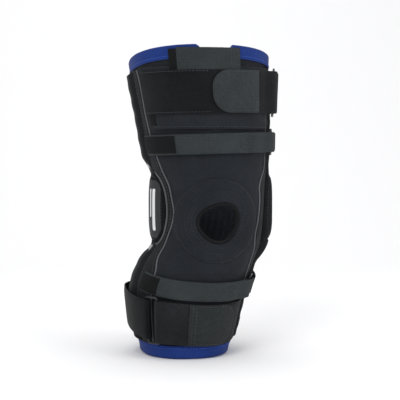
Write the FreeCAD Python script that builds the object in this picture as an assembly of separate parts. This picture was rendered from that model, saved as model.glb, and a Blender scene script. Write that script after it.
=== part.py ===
import FreeCAD, Part
import math
import os

# Wraparound knee brace with two geared polycentric side hinges, millimetres.
# Origin: middle of the knee, half way between the two pivots of the hinges.
# +Z up the thigh, -Y to the front, -X to the outer (lateral) side of a right leg.

Vector = FreeCAD.Vector
OUT = "parts"

# ---- the limb that the brace is cut for: height, then lateral, medial, front and back edge
STATIONS = [
    (-165, -68.5, 11.0, -46.0, 58.0),
    (-130, -73.5, 20.0, -50.0, 66.0),
    (-105, -76.5, 26.0, -53.0, 70.0),
    (-80, -77.5, 32.5, -55.0, 71.0),
    (-55, -68.5, 41.0, -58.0, 67.0),
    (-36, -56.0, 47.5, -60.5, 64.0),
    (-15, -51.5, 51.0, -62.5, 62.0),
    (5, -50.5, 52.5, -63.0, 62.0),
    (30, -54.0, 53.5, -63.5, 63.0),
    (60, -64.0, 54.5, -66.0, 67.0),
    (100, -71.5, 55.5, -69.0, 73.0),
    (140, -79.5, 57.0, -71.5, 77.5),
    (180, -86.0, 58.5, -73.0, 80.0),
]
SECTION_POWER = 2.3  # 2 is an ellipse, more is squarer

# ---- sleeve
SLEEVE_T = 3.0
TOP_Z, TOP_TILT = 159.5, -0.15  # the upper edge lies on z = TOP_Z + TOP_TILT * y
BOTTOM_Z = -151.0
THIGH_EDGE_Z, THIGH_EDGE_TILT = 76.0, 0.64  # lower edge of the thigh sleeve
CALF_EDGE_Z, CALF_EDGE_TILT = -85.0, -0.46  # upper edge of the calf sleeve
BINDING_H, BINDING_T = 12.0, 1.0
LAYER_GAP = 0.25

# ---- kneecap opening
PATELLA_Z = -9.5
PATELLA_R = 19.0
BUTTRESS_R, BUTTRESS_T = 42.0, 3.4
PATELLA_RIM = 2.6

# ---- polycentric hinge
PIVOT_Z = 11.0  # pivots stand at +PIVOT_Z and -PIVOT_Z
HINGE_X = {"lateral": 56.5, "medial": 57.5}  # inner face of the inner plate, from x = 0
SIDE = {"lateral": -1, "medial": 1}
PLATE_T, PLATE_R = 1.2, 14.5
WASHER_T, WASHER_R, AXIAL_PLAY = 0.4, 7.5, 0.05
ARM_T, ARM_W = 2.5, 16.0
RIVET_R, RIVET_HEAD_R, RIVET_HEAD_T, PIVOT_PLAY = 2.5, 4.6, 1.0, 0.05
TEETH, PRESSURE_ANGLE, BACKLASH = 16, 20.0, 0.3
ARM_TOP_Z, ARM_BOTTOM_Z = 138.0, -130.0
ARM_STRAIGHT = 27.0  # the arms are flat and upright as far as this from the knee line
ARM_BEND, ARM_BEND_SHORT = 26.0, 14.0  # height of the bend that follows, short where the limb bulges
REACH_X = (8.0, 110.0)  # reach across X of the outlines that trim the arms
STOP_Y, STOP_H = (-13.2, -10.0), 6.6
TIP_L, TIP_T, CAP_UNDER = 14.0, 0.9, 0.35
PAD_W, PAD_H = 50.0, 74.0
COVER_GAP, COVER_T = 0.5, 1.8
COVER_Y, COVER_Z = (-31.0, 22.0), (-34.0, 41.0)
COVER_FLAT_Y = -15.0  # in front of this the cover turns down towards the leg
COVER_DROP = 9.0
BADGE_W, BADGE_H, BADGE_T = 24.0, 60.0, 1.2
BADGE_AT = (-16.0, 2.5)  # its middle, y and z, on the bend of the cover

# ---- side panels, piping and stay pockets
PANEL_T = 1.5
PANEL_EDGE_Z, PANEL_TILT = 64.0, 0.3  # the edge next to the knee, mirrored for the calf
ARM_CLEAR = 0.5  # between a side panel and the arm over it
PANEL_PHI = {"upper": (64.0, 118.0), "lower": (56.0, 118.0)}  # front and back edges
PIPING_R = 0.75
POCKET_W, POCKET_T = 24.0, 1.2
POCKET_OUT = ARM_T + TIP_T + 0.3  # from the arm's inner face to the pocket
POCKET_END = {"upper": 45.5, "lower": 44.0}

# ---- straps: width, height at the front, change of height to the side, and skew to medial
STRAP_T, TAB_T = 1.2, 1.4
RING_BAR, RING_T, RING_W, RING_SLACK = 2.4, 1.8, 17.0, 1.2
FOLD_R = 3.9  # middle of a strap where it folds round a bar
STRAP_LIFT = {"thigh_wide": 6.1, "thigh_narrow": 5.0, "calf_narrow": 5.0, "calf_wide": 5.0}

STRAPS = {
    # name: (width, front z, rise to the side, skew, ring phi, far end phi, tab end phi, seam phi)
    "thigh_wide": (44.0, 124.2, 0.0, 1.0, 66.0, -60.0, 0.0, 36.0),
    "thigh_narrow": (21.0, 71.5, 0.0, 2.0, 66.0, -74.0, -32.0, 18.0),
    "calf_narrow": (20.0, -81.0, 9.0, -5.0, 63.0, -60.0, -36.0, 20.0),
    "calf_wide": (44.0, -116.3, 9.0, -4.5, -38.0, 70.0, 42.0, -4.0),
}
KEEPER_END = {"thigh_wide": 116.0, "thigh_narrow": 116.0, "calf_narrow": 116.0, "calf_wide": -118.0}
KEEPER_T = 1.2
SECOND_GAP = 0.3  # between two layers of a strap
TURN_BACK = 17.0  # degrees in which a strap comes down from its ring
CLOSURE_PHI, CLOSURE_Z = (-24.0, 22.0), (132.0, 168.5)

BODY_OF = {}


# ---------------------------------------------------------------- the limb's form
def station(z, column):
    """Height of a smooth curve through the stations: cubic pieces with averaged slopes."""
    zs = [s[0] for s in STATIONS]
    vs = [s[column] for s in STATIONS]
    i = max(0, min(len(zs) - 2, sum(1 for a in zs if a <= z) - 1))

    def slope(k):
        lo, hi = max(0, k - 1), min(len(zs) - 1, k + 1)
        return (vs[hi] - vs[lo]) / (zs[hi] - zs[lo])

    h = zs[i + 1] - zs[i]
    t = (z - zs[i]) / h
    a, b = vs[i], vs[i + 1]
    ma, mb = slope(i) * h, slope(i + 1) * h
    return (
        a * (2 * t**3 - 3 * t**2 + 1)
        + ma * (t**3 - 2 * t**2 + t)
        + b * (3 * t**2 - 2 * t**3)
        + mb * (t**3 - t**2)
    )


def on_form(phi, z, d):
    """Point at height z, phi degrees round from the front towards medial, d outside the skin."""
    lat, med, front, back = (station(z, c) for c in (1, 2, 3, 4))
    hw, hd = (med - lat) / 2 + d, (back - front) / 2 + d
    s, c = math.sin(math.radians(phi)), math.cos(math.radians(phi))
    r = (abs(s / hw) ** SECTION_POWER + abs(c / hd) ** SECTION_POWER) ** (-1 / SECTION_POWER)
    return Vector((lat + med) / 2 + r * s, (front + back) / 2 - r * c, z)


def radius_at(phi, z):
    """Distance from the section's middle to the skin."""
    p = on_form(phi, z, 0)
    lat, med, front, back = (station(z, c) for c in (1, 2, 3, 4))
    return math.hypot(p.x - (lat + med) / 2, p.y - (front + back) / 2)


def local_frame(phi, z, d):
    """Origin on the form, with X round the limb, Y up it and Z outwards."""
    step = 0.5
    along = (on_form(phi + step, z, d) - on_form(phi - step, z, d)).normalize()
    up = on_form(phi, z + step, d) - on_form(phi, z - step, d)
    out = along.cross(up).normalize()
    up = out.cross(along).normalize()
    m = FreeCAD.Matrix()
    for k, axis in enumerate((along, up, out)):
        for row, value in enumerate(axis):
            m.__setattr__(f"A{row + 1}{k + 1}", value)
    o = on_form(phi, z, d)
    m.A14, m.A24, m.A34 = o.x, o.y, o.z
    return FreeCAD.Placement(m)


# ---------------------------------------------------------------- making solids
def solid_of(faces):
    shell = Part.Shell(faces)
    shell.sewShape()
    solid = Part.Solid(shell)
    if solid.Volume < 0:
        solid.reverse()
    return solid


def between(outer, inner):
    """Closed solid between two grids of points that have the same shape."""
    surfaces = []
    for grid in (outer, inner):
        s = Part.BSplineSurface()
        s.interpolate(grid)
        surfaces.append(s)

    def rims(s):
        u0, u1, v0, v1 = s.bounds()
        return [Part.Wire(c.toShape()) for c in (s.uIso(u0), s.uIso(u1), s.vIso(v0), s.vIso(v1))]

    sides = [Part.makeLoft([a, b], False, True).Faces[0] for a, b in zip(*map(rims, surfaces))]
    return solid_of([s.toShape() for s in surfaces] + sides)


def steps(a, b, n):
    return [a + (b - a) * i / n for i in range(n + 1)]


def patch(phis, low, high, d0, d1, rows=12, cols=24):
    """Curved panel from phis[0] to phis[1], between the heights low(phi) and high(phi)."""

    def grid(d):
        return [
            [on_form(p, z, d) for z in steps(low(p), high(p), rows)]
            for p in steps(*phis, cols)
        ]

    return between(grid(d1), grid(d0))


def ribbon(line, middle, width, thickness, rows=4):
    """Strap of that width whose middle line runs through the points (phi, offset)."""
    scale = math.radians(radius_at(line[0][0] * 0.5 + line[-1][0] * 0.5, middle(0)))
    line = graded(line, scale)
    sides = ([], [])
    for i, (phi, d) in enumerate(line):
        p, q = line[max(0, i - 1)], line[min(len(line) - 1, i + 1)]
        ds, dd = (q[0] - p[0]) * scale, q[1] - p[1]
        size = math.hypot(ds, dd)
        for side, sign in zip(sides, (1, -1)):
            off = sign * thickness / 2
            side.append((phi - off * dd / size / scale, d + off * ds / size))
    grids = []
    for side in sides:
        grids.append([
            [on_form(phi, middle(phi) + h, d) for h in steps(-width / 2, width / 2, rows)]
            for phi, d in side
        ])
    return between(*grids)


def graded(line, scale):
    """The same line with close points round its fold, further apart away from it."""
    gaps = [math.hypot((q[0] - p[0]) * scale, q[1] - p[1]) for p, q in zip(line, line[1:])]
    at = [0.0]
    for gap in gaps:
        at.append(at[-1] + gap)

    def point(s):
        i = max(k for k in range(len(gaps)) if at[k] <= s or k == 0)
        t = (s - at[i]) / gaps[i]
        return [line[i][k] + (line[i + 1][k] - line[i][k]) * t for k in (0, 1)]

    steep = [abs(q[1] - p[1]) / gap for p, q, gap in zip(line, line[1:], gaps)]
    apex = at[steep.index(max(steep))] if max(steep) > 0.7 else at[-1] / 2
    near = 0.8 if max(steep) > 0.7 else 4.0
    found = [apex]
    for way in (1, -1):
        s = apex
        while 0 < s < at[-1]:
            s += way * min(4.0, near + 0.1 * abs(s - apex))
            found.append(max(0.0, min(at[-1], s)))
    found = sorted(found)
    kept = [found[0]]
    for s in found[1:]:
        if s - kept[-1] > 0.3:
            kept.append(s)
    kept[-1] = at[-1]
    return [point(s) for s in kept]


def eased(a, b, every=4.0):
    """Points from a to b, both (phi, offset), with level ends."""
    n = max(2, int(abs(b[0] - a[0]) / every))
    return [(a[0] + (b[0] - a[0]) * t, a[1] + (b[1] - a[1]) * t * t * (3 - 2 * t)) for t in steps(0, 1, n)]


def fold(centre_phi, centre_d, way, r):
    """Half turn round a bar, bulging towards way; r is the radius of the middle line."""
    reach = math.degrees(FOLD_R / r)
    turn = []
    for a in steps(-85, 85, 34):
        a = math.radians(a)
        turn.append((centre_phi + way * math.cos(a) * reach, centre_d + FOLD_R * math.sin(a)))
    return turn


def tube_round(low, high, d0, d1, tilt_low=0.0, tilt_high=0.0, levels=14):
    """Ring round the whole limb, cut by the planes z = low + tilt * y and z = high + tilt * y."""
    margin = 60.0
    reach = 200.0

    def solid(d):
        zs = steps(max(-164.5, low - margin), min(179.5, high + margin), levels)
        wires = []
        for z in zs:
            curve = Part.BSplineCurve()
            curve.interpolate([on_form(p, z, d) for p in range(0, 360, 10)], PeriodicFlag=True)
            wires.append(Part.Wire(curve.toShape()))
        return Part.makeLoft(wires, True, False)

    ring = solid(d1).cut(solid(d0))
    return ring.common(slab(low, high, tilt_low, tilt_high, reach))


def slab(low, high, tilt_low, tilt_high, reach=200.0):
    """Space between two planes that tilt along Y."""
    corners = [
        Vector(-reach, y, z)
        for y, z in (
            (-reach, low - tilt_low * reach),
            (reach, low + tilt_low * reach),
            (reach, high + tilt_high * reach),
            (-reach, high - tilt_high * reach),
        )
    ]
    face = Part.Face(Part.makePolygon(corners + corners[:1]))
    return face.extrude(Vector(2 * reach, 0, 0))


def plane_z(base, tilt):
    """Height where the form meets the plane z = base + tilt * y, found by a few rounds."""

    def height(phi):
        z = base
        for _ in range(6):
            z = base + tilt * on_form(phi, max(-165.0, min(180.0, z)), SLEEVE_T).y
        return z

    return height


def prism(points_yz, x0, x1):
    """Solid with that outline in the YZ plane, from x0 to x1."""
    pts = [Vector(x0, y, z) for y, z in points_yz]
    return Part.Face(Part.makePolygon(pts + pts[:1])).extrude(Vector(x1 - x0, 0, 0))


def disc(y, z, r, x0, x1):
    a, b = min(x0, x1), max(x0, x1)
    return Part.makeCylinder(r, b - a, Vector(a, y, z), Vector(1, 0, 0))


def save(body, name, shape):
    BODY_OF[name] = body
    solids = shape.Solids
    shape = solids[0] if len(solids) == 1 else Part.makeCompound(solids)
    if not shape.isValid():
        print("not valid:", name)
    shape.exportStep(os.path.join(OUT, name + ".step"))
    print(f"{body:6s} {name:26s} {len(solids)} solid, {sum(s.Volume for s in solids) / 1000:8.2f} cm3")
    return shape


# ---------------------------------------------------------------- sleeve
def sleeve_and_bindings():
    save("thigh", "thigh_sleeve", tube_round(
        THIGH_EDGE_Z, TOP_Z, 0, SLEEVE_T, THIGH_EDGE_TILT, TOP_TILT))
    save("calf", "calf_sleeve", tube_round(
        BOTTOM_Z, CALF_EDGE_Z, 0, SLEEVE_T, 0, CALF_EDGE_TILT))
    skin = SLEEVE_T + LAYER_GAP
    save("thigh", "thigh_top_binding", tube_round(
        TOP_Z - BINDING_H, TOP_Z, skin, skin + BINDING_T, TOP_TILT, TOP_TILT, 8))
    save("calf", "calf_bottom_binding", tube_round(
        BOTTOM_Z, BOTTOM_Z + BINDING_H, skin, skin + BINDING_T, 0, 0, 8))


def opening_outline(scale, depth):
    """Prism along Y with the outline of the kneecap opening, rounder towards lower lateral."""
    pts = []
    for a in range(0, 360, 15):
        t = math.radians(a)
        r = scale + 1.5 * math.cos(2 * t - math.radians(70)) + 1.6 * math.cos(3 * t - math.radians(135))
        pts.append(Vector(r * math.cos(t), -depth, PATELLA_Z + r * math.sin(t)))
    curve = Part.BSplineCurve()
    curve.interpolate(pts, PeriodicFlag=True)
    return Part.Face(Part.Wire(curve.toShape())).extrude(Vector(0, depth, 0))


def knee_panels():
    gap = 0.3
    middle = tube_round(
        CALF_EDGE_Z + gap, THIGH_EDGE_Z - gap, 0, SLEEVE_T, CALF_EDGE_TILT, THIGH_EDGE_TILT, 24)
    ahead = Part.makeBox(400, 200 - gap, 600, Vector(-200, -200, -300))
    behind = Part.makeBox(400, 200, 600, Vector(-200, 0, -300))
    front = middle.common(ahead)
    save("knee", "knee_front_panel", front.cut(opening_outline(PATELLA_R + 1.5, 100)))
    save("knee", "popliteal_panel", middle.common(behind))

    face = SLEEVE_T + LAYER_GAP
    square = patch(
        (-50, 50),
        lambda phi: PATELLA_Z - BUTTRESS_R - 3,
        lambda phi: PATELLA_Z + BUTTRESS_R + 3,
        face, face + BUTTRESS_T, 14, 24,
    )
    round_cut = Part.makeCylinder(BUTTRESS_R, 100, Vector(0, -100, PATELLA_Z), Vector(0, 1, 0))
    buttress = square.common(round_cut)
    save("knee", "patella_buttress", buttress.cut(opening_outline(PATELLA_R + PATELLA_RIM, 100)))
    rim = patch(
        (-32, 32),
        lambda phi: PATELLA_Z - PATELLA_R - 8,
        lambda phi: PATELLA_Z + PATELLA_R + 8,
        0.4, face + BUTTRESS_T, 8, 16,
    )
    rim = rim.common(opening_outline(PATELLA_R + 1.4, 100))
    save("knee", "patella_edge_binding", rim.cut(opening_outline(PATELLA_R, 110)))


# ---------------------------------------------------------------- hinges
def hinge_layers(side):
    """x of each layer's inner and outer face, from the middle of the knee outwards."""
    x = HINGE_X[side]
    found = {}
    for name, t in (
        ("inner_plate", PLATE_T), ("play", AXIAL_PLAY), ("inner_washer", WASHER_T), ("play", AXIAL_PLAY),
        ("arm", ARM_T), ("play", AXIAL_PLAY), ("outer_washer", WASHER_T), ("play", AXIAL_PLAY),
        ("outer_plate", PLATE_T), ("rivet_head", RIVET_HEAD_T), ("play", COVER_GAP), ("cover", COVER_T),
        ("badge", BADGE_T),
    ):
        found[name] = (x, x + t)
        x += t
    return found


def arm_face_x(side, z):
    """x of the arm's inner face at height z, without its sign."""
    flat = hinge_layers(side)["arm"][0]
    if abs(z) <= ARM_STRAIGHT:
        return flat
    phi = 90.0 * SIDE[side]
    on_leg = abs(on_form(phi, z, SLEEVE_T + PANEL_T + LAYER_GAP + ARM_CLEAR).x)
    bend = ARM_BEND_SHORT if on_leg > flat and z < 0 else ARM_BEND
    t = min(1.0, (abs(z) - ARM_STRAIGHT) / bend)
    t = t * t * (3 - 2 * t)
    return flat * (1 - t) + on_leg * t


def strip(side, z0, z1, out, thickness, width):
    """Bar that follows the arm's side profile, out beyond its inner face."""
    sign = SIDE[side]
    zs = steps(z0, z1, max(4, int(abs(z1 - z0) / 4)))

    def edge(extra):
        curve = Part.BSplineCurve()
        curve.interpolate([Vector(sign * (arm_face_x(side, z) + extra), -width / 2, z) for z in zs])
        return curve.toShape()

    a, b = edge(out), edge(out + thickness)
    ends = [
        Part.makeLine(a.valueAt(a.FirstParameter), b.valueAt(b.FirstParameter)),
        Part.makeLine(a.valueAt(a.LastParameter), b.valueAt(b.LastParameter)),
    ]
    face = Part.Face(Part.Wire(Part.__sortEdges__([a, b] + ends)))
    return face.extrude(Vector(0, width, 0))


def gear_outline(centre_z, up, tooth_at, first, last):
    """Outline in YZ of a toothed sector. Angles run from the line of centres towards the back."""
    module = 2 * PIVOT_Z / TEETH
    pitch_r = PIVOT_Z
    base_r = pitch_r * math.cos(math.radians(PRESSURE_ANGLE))
    tip_r, root_r = pitch_r + 0.9 * module, pitch_r - 1.25 * module

    def involute(r):
        if r <= base_r:
            return 0.0
        a = math.acos(base_r / r)
        return math.tan(a) - a

    half = (math.pi * module / 2 - BACKLASH) / 2 / pitch_r + involute(pitch_r)
    pitch = 2 * math.pi / TEETH
    outline = []
    k = first
    while k <= last:
        mid = tooth_at + k * pitch
        rs = [root_r] + steps(base_r, tip_r, 5)
        flank = [(r, half - involute(r)) for r in rs]
        outline += [(r, mid - a) for r, a in flank]
        outline += [(r, mid + a) for r, a in reversed(flank)]
        k += 1
    outline.append((1.0, tooth_at + last * pitch + pitch / 2))
    outline.append((1.0, tooth_at + first * pitch - pitch / 2))
    return [(r * math.sin(a), centre_z - up * r * math.cos(a)) for r, a in outline]


def arm(side, part):
    """Stay with a toothed head, a shoulder for the stop and a rounded far end."""
    up = 1 if part == "upper" else -1
    pivot, end = up * PIVOT_Z, ARM_TOP_Z if up > 0 else ARM_BOTTOM_Z
    sign = SIDE[side]
    wide = 40.0
    z0 = pivot - up * 14
    body = strip(side, min(z0, end), max(z0, end), 0, ARM_T, wide)
    x0, x1 = REACH_X[0] * sign, REACH_X[1] * sign
    half = ARM_W / 2
    root_r = PIVOT_Z - 1.25 * 2 * PIVOT_Z / TEETH
    outline = prism(
        [(-half, pivot), (half, pivot), (half, end - up * half), (-half, end - up * half)], x0, x1
    )
    outline = outline.fuse(disc(0, end - up * half, half, x0, x1))
    outline = outline.fuse(disc(0, pivot, root_r, x0, x1))
    shoulder_z = up * (STOP_H / 2 + 0.1)
    shoulder = [
        (0, shoulder_z), (STOP_Y[0], shoulder_z), (STOP_Y[0], up * 15.0), (-half, up * 25.0), (0, up * 25.0)
    ]
    outline = outline.fuse(prism(shoulder, x0, x1))
    tooth_at = 0.0 if up > 0 else math.pi / TEETH
    first, last = (-1, 3) if up > 0 else (-2, 2)
    outline = outline.fuse(prism(gear_outline(pivot, up, tooth_at, first, last), x0, x1))
    shape = body.common(outline)
    shape = shape.cut(disc(0, pivot, RIVET_R + PIVOT_PLAY, x0, x1))
    body_name = "thigh" if up > 0 else "calf"
    save(body_name, f"{side}_{part}_arm", shape)

    cap_z = (end - up * TIP_L, end)
    outer = tip_outline(side, up, cap_z, half + TIP_T, TIP_T)
    inner = tip_outline(side, up, (cap_z[0] - up * 5, end), half + 0.05, 0.05)
    save(body_name, f"{side}_{part}_arm_cap", outer.cut(inner))


def tip_outline(side, up, cap_z, half, over):
    """Body of the cap on an arm's far end, or with a small over its hollow."""
    sign = SIDE[side]
    end = cap_z[1] + up * over
    if over > 0.5:
        out, thick = -CAP_UNDER, ARM_T + CAP_UNDER + over
    else:
        out, thick = -over, ARM_T + 2 * over
    bar = strip(side, min(cap_z[0], end), max(cap_z[0], end), out, thick, 2 * half)
    x0, x1 = REACH_X[0] * sign, REACH_X[1] * sign
    centre = cap_z[1] - up * ARM_W / 2
    limit = prism([(-half, centre), (half, centre), (half, cap_z[0]), (-half, cap_z[0])], x0, x1)
    return bar.common(limit.fuse(disc(0, centre, half, x0, x1)))


def stadium(r, x0, x1):
    body = disc(0, PIVOT_Z, r, x0, x1).fuse(disc(0, -PIVOT_Z, r, x0, x1))
    return body.fuse(prism([(-r, -PIVOT_Z), (r, -PIVOT_Z), (r, PIVOT_Z), (-r, PIVOT_Z)], x0, x1))


def hinge(side):
    sign = SIDE[side]
    layer = {k: (a * sign, b * sign) for k, (a, b) in hinge_layers(side).items()}
    for name in ("inner_plate", "outer_plate"):
        plate = stadium(PLATE_R, *layer[name])
        for z in (PIVOT_Z, -PIVOT_Z):
            plate = plate.cut(disc(0, z, RIVET_R, *layer[name]))
        save("knee", f"{side}_{name}", plate)

    washers = []
    for name in ("inner_washer", "outer_washer"):
        for z in (PIVOT_Z, -PIVOT_Z):
            ring = disc(0, z, WASHER_R, *layer[name])
            washers.append(ring.cut(disc(0, z, RIVET_R + PIVOT_PLAY, *layer[name])))
    save("knee", f"{side}_washers", Part.makeCompound(washers))

    rivets = []
    inside, outside = layer["inner_plate"][0], layer["outer_plate"][1]
    for z in (PIVOT_Z, -PIVOT_Z):
        shank = disc(0, z, RIVET_R, inside, outside)
        for x, way in ((inside, -sign), (outside, sign)):
            head = disc(0, z, RIVET_HEAD_R, x, x + way * RIVET_HEAD_T)
            crown = [e for e in head.Edges if abs(e.CenterOfMass.x - x) > 0.5 and e.Length > 20]
            shank = shank.fuse(head.makeFillet(0.6, crown[:1]))
        rivets.append(shank)
    save("knee", f"{side}_rivets", Part.makeCompound(rivets))

    gap = (layer["inner_plate"][1], layer["outer_plate"][0])
    y0, y1 = STOP_Y
    h = STOP_H / 2
    stop = prism([(y0, -h), (y1, -h), (y1, h), (y0, h)], *gap)
    save("knee", f"{side}_extension_stop", stop)

    condyle_pad(side, layer)
    hinge_cover(side, layer)


def oval(w, h, centre, x0, x1, power=2.6):
    """Prism along X with a squarish oval outline."""
    pts = []
    for a in range(0, 360, 15):
        s, c = math.sin(math.radians(a)), math.cos(math.radians(a))
        r = (abs(s / (h / 2)) ** power + abs(c / (w / 2)) ** power) ** (-1 / power)
        pts.append(Vector(x0, centre[0] + r * c, centre[1] + r * s))
    curve = Part.BSplineCurve()
    curve.interpolate(pts, PeriodicFlag=True)
    return Part.Face(Part.Wire(curve.toShape())).extrude(Vector(x1 - x0, 0, 0))


def condyle_pad(side, layer):
    """Foam between the sleeve and the inner plate, with room for the rivet heads."""
    sign = SIDE[side]
    phi = (60, 120) if sign > 0 else (-120, -60)
    plate_x = layer["inner_plate"][0]
    block = oval(PAD_W, PAD_H, (0, 2), 30 * sign, plate_x)
    leg = patch(phi, lambda p: -48.0, lambda p: 50.0, -30, SLEEVE_T + 2 * LAYER_GAP, 14, 14)
    pad = block.cut(leg)
    keep = max(pad.Solids, key=lambda s: abs(s.CenterOfMass.x))
    for z in (PIVOT_Z, -PIVOT_Z):
        keep = keep.cut(disc(0, z, RIVET_HEAD_R + 0.4, plate_x - sign * (RIVET_HEAD_T + 0.3), plate_x))
    save("knee", f"{side}_condyle_pad", keep)


def cover_shell(side, x_in, lift, thick):
    """Upright sheet over the hinge, turned down in front of COVER_FLAT_Y; lift is its distance from x_in."""
    sign = SIDE[side]
    y0, y1 = COVER_Y
    r = (COVER_FLAT_Y - y0) ** 2 / (2 * COVER_DROP) + COVER_DROP / 2
    edge = math.asin((COVER_FLAT_Y - y0) / r)

    def bent(off):
        radius = r + off

        def at(a):
            return Vector(
                x_in + sign * (off - radius * (1 - math.cos(a))), COVER_FLAT_Y - radius * math.sin(a), 0
            )

        return at(0), at(edge / 2), at(edge)

    a0, a1, a2 = bent(lift)
    b0, b1, b2 = bent(lift + thick)
    a_back, b_back = Vector(a0.x, y1, 0), Vector(b0.x, y1, 0)
    wire = Part.Wire([
        Part.makeLine(a_back, a0),
        Part.Arc(a0, a1, a2).toShape(),
        Part.makeLine(a2, b2),
        Part.Arc(b2, b1, b0).toShape(),
        Part.makeLine(b0, b_back),
        Part.makeLine(b_back, a_back),
    ])
    z0, z1 = COVER_Z
    wire.translate(Vector(0, 0, z0))
    return Part.Face(wire).extrude(Vector(0, 0, z1 - z0))


def hinge_cover(side, layer):
    """Stiffened fabric cover, and the badge bonded on the bend of the lateral one."""
    x_in = layer["cover"][0]
    far = [x * SIDE[side] for x in (40, 90)]
    y0, y1 = COVER_Y
    z0, z1 = COVER_Z
    middle = ((y0 + y1) / 2, (z0 + z1) / 2)
    shell = cover_shell(side, x_in, 0, COVER_T)
    save("knee", f"{side}_hinge_cover", shell.common(oval(y1 - y0 + 4, z1 - z0, middle, *far, 3.2)))
    if side == "lateral":
        shell = cover_shell(side, x_in, COVER_T + 0.05, BADGE_T)
        save("knee", "lateral_badge", shell.common(oval(BADGE_W, BADGE_H, BADGE_AT, *far, 3.5)))


# ---------------------------------------------------------------- side panels, piping, pockets
def side_trim(side, body):
    sign = SIDE[side]
    level = "upper" if body == "thigh" else "lower"
    f, b = (sign * phi for phi in PANEL_PHI[level])
    d0 = SLEEVE_T + LAYER_GAP
    rim = 0.4
    if level == "upper":
        low = plane_z(PANEL_EDGE_Z, PANEL_TILT)
        high = plane_z(TOP_Z - BINDING_H - rim, TOP_TILT)
        span = (POCKET_END[level], ARM_TOP_Z + 5)
    else:
        low = plane_z(BOTTOM_Z + BINDING_H + rim, 0.0)
        high = plane_z(-PANEL_EDGE_Z, -PANEL_TILT)
        span = (ARM_BOTTOM_Z - 5, -POCKET_END[level])
    phis = (f, b) if sign > 0 else (b, f)
    save(body, f"{side}_{level}_panel", patch(phis, low, high, d0, d0 + PANEL_T, 20, 20))

    along = f - sign * 2.2
    line = Part.BSplineCurve()
    line.interpolate([
        on_form(along, z, d0 + PIPING_R + 0.1) for z in steps(low(along), high(along), 8)
    ])
    path = Part.Wire(line.toShape())
    start = line.value(line.FirstParameter)
    way = line.tangent(line.FirstParameter)[0]
    ring = Part.Wire(Part.makeCircle(PIPING_R, start, way))
    save(body, f"{side}_{level}_piping", path.makePipeShell([ring], True, True))
    save(body, f"{side}_{level}_pocket", strip(side, *span, POCKET_OUT, POCKET_T, POCKET_W))


# ---------------------------------------------------------------- straps
def strap_middle(name):
    _, z, rise, skew, *_ = STRAPS[name]

    def middle(phi):
        t = math.radians(phi)
        return z + rise * (1 - math.cos(t)) + skew * math.sin(t)

    return middle


def strap_set(name):
    """Loop strap that turns back round a ring, its hook tab, the ring and the ring's keeper."""
    width, _, _, _, ring_phi, far_phi, tab_phi, seam_phi = STRAPS[name]
    body = name.split("_")[0]
    way = 1 if ring_phi > 0 else -1
    middle = strap_middle(name)
    r = radius_at(ring_phi, middle(ring_phi)) + STRAP_LIFT[name] + FOLD_R
    deg = math.degrees(1 / r)
    bar = (RING_W - RING_BAR) / 2 * deg * way

    low = STRAP_LIFT[name] + STRAP_T / 2
    bar_d = low + FOLD_R
    second = low + STRAP_T + SECOND_GAP
    near = ring_phi - bar
    down = near - way * TURN_BACK
    path = eased((far_phi, low), (near, low))[:-1]
    path += fold(near, bar_d, way, r)
    path += eased((near, bar_d + FOLD_R), (down, second))[1:]
    if (down - seam_phi) * way > 1.0:
        path += eased((down, second), (seam_phi, second))[1:]
    seam = path[-1][0]
    save(body, f"{name}_strap", ribbon(path, middle, width, STRAP_T))
    tab_d = low + STRAP_T / 2 + SECOND_GAP + TAB_T / 2
    tab = eased((seam - way * 0.3, tab_d), (tab_phi, tab_d))
    save(body, f"{name}_tab", ribbon(tab, middle, width, TAB_T))

    z = middle(ring_phi)
    place = local_frame(ring_phi, z, bar_d)
    place.Base = (on_form(near, z, bar_d) + on_form(ring_phi + bar, z, bar_d)) / 2
    height = width + 2 * RING_SLACK + 2 * RING_BAR
    save(body, f"{name}_ring", ring_shape(RING_W, height, place))

    far_bar = ring_phi + bar
    top = bar_d + FOLD_R
    on_panel = SLEEVE_T + PANEL_T + LAYER_GAP + 0.2 + KEEPER_T / 2
    pocket_top = SLEEVE_T + PANEL_T + LAYER_GAP + ARM_CLEAR + POCKET_OUT + POCKET_T
    clear = (POCKET_W / 2 + 5) * deg
    side_phi = 90 - (station(z, 3) + station(z, 4)) / 2 * deg
    edge_phi = (side_phi - POCKET_W / 2 * deg) * way
    drop = abs(on_form(90 * way, z, SLEEVE_T).x - on_form(edge_phi, z, SLEEVE_T).x)
    over = max(top, pocket_top + drop + 0.8 + KEEPER_T / 2)
    loop = [(far_bar + way * 4 * deg, bar_d - FOLD_R)]
    loop += fold(far_bar, bar_d, -way, r)
    loop += eased((far_bar, top), (max(side_phi - clear, abs(far_bar) + 3) * way, over), 3.0)[1:]
    loop += eased(loop[-1], ((side_phi + clear) * way, over), 3.0)[1:]
    loop += eased(loop[-1], (KEEPER_END[name], on_panel), 2.0)[1:]
    save(body, f"{name}_keeper", ribbon(loop, middle, width * 0.96, KEEPER_T))


def ring_shape(w, h, place):
    """Moulded rectangular ring with rounded corners, flat against the limb."""
    r_out, r_in = 4.0, 1.2

    def plate(a, b, r):
        box = Part.makeBox(a, b, RING_T, Vector(-a / 2, -b / 2, -RING_T / 2))
        upright = [e for e in box.Edges if abs(e.tangentAt(e.FirstParameter).z) > 0.9]
        return box.makeFillet(r, upright)

    shape = plate(w, h, r_out).cut(plate(w - 2 * RING_BAR, h - 2 * RING_BAR, r_in))
    rims = [e for e in shape.Edges if abs(abs(e.CenterOfMass.z) - RING_T / 2) < 1e-6]
    shape = shape.makeFillet(0.7, rims)
    shape.Placement = place
    return shape


def closure_tab():
    """Front closure at the top of the thigh, above and behind the wide strap."""
    low, top = CLOSURE_Z
    d = SLEEVE_T + BINDING_T + LAYER_GAP + 0.1
    shape = patch(CLOSURE_PHI, lambda phi: low, lambda phi: top, d, d + TAB_T, 8, 12)
    save("thigh", "thigh_closure_tab", shape)


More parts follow.
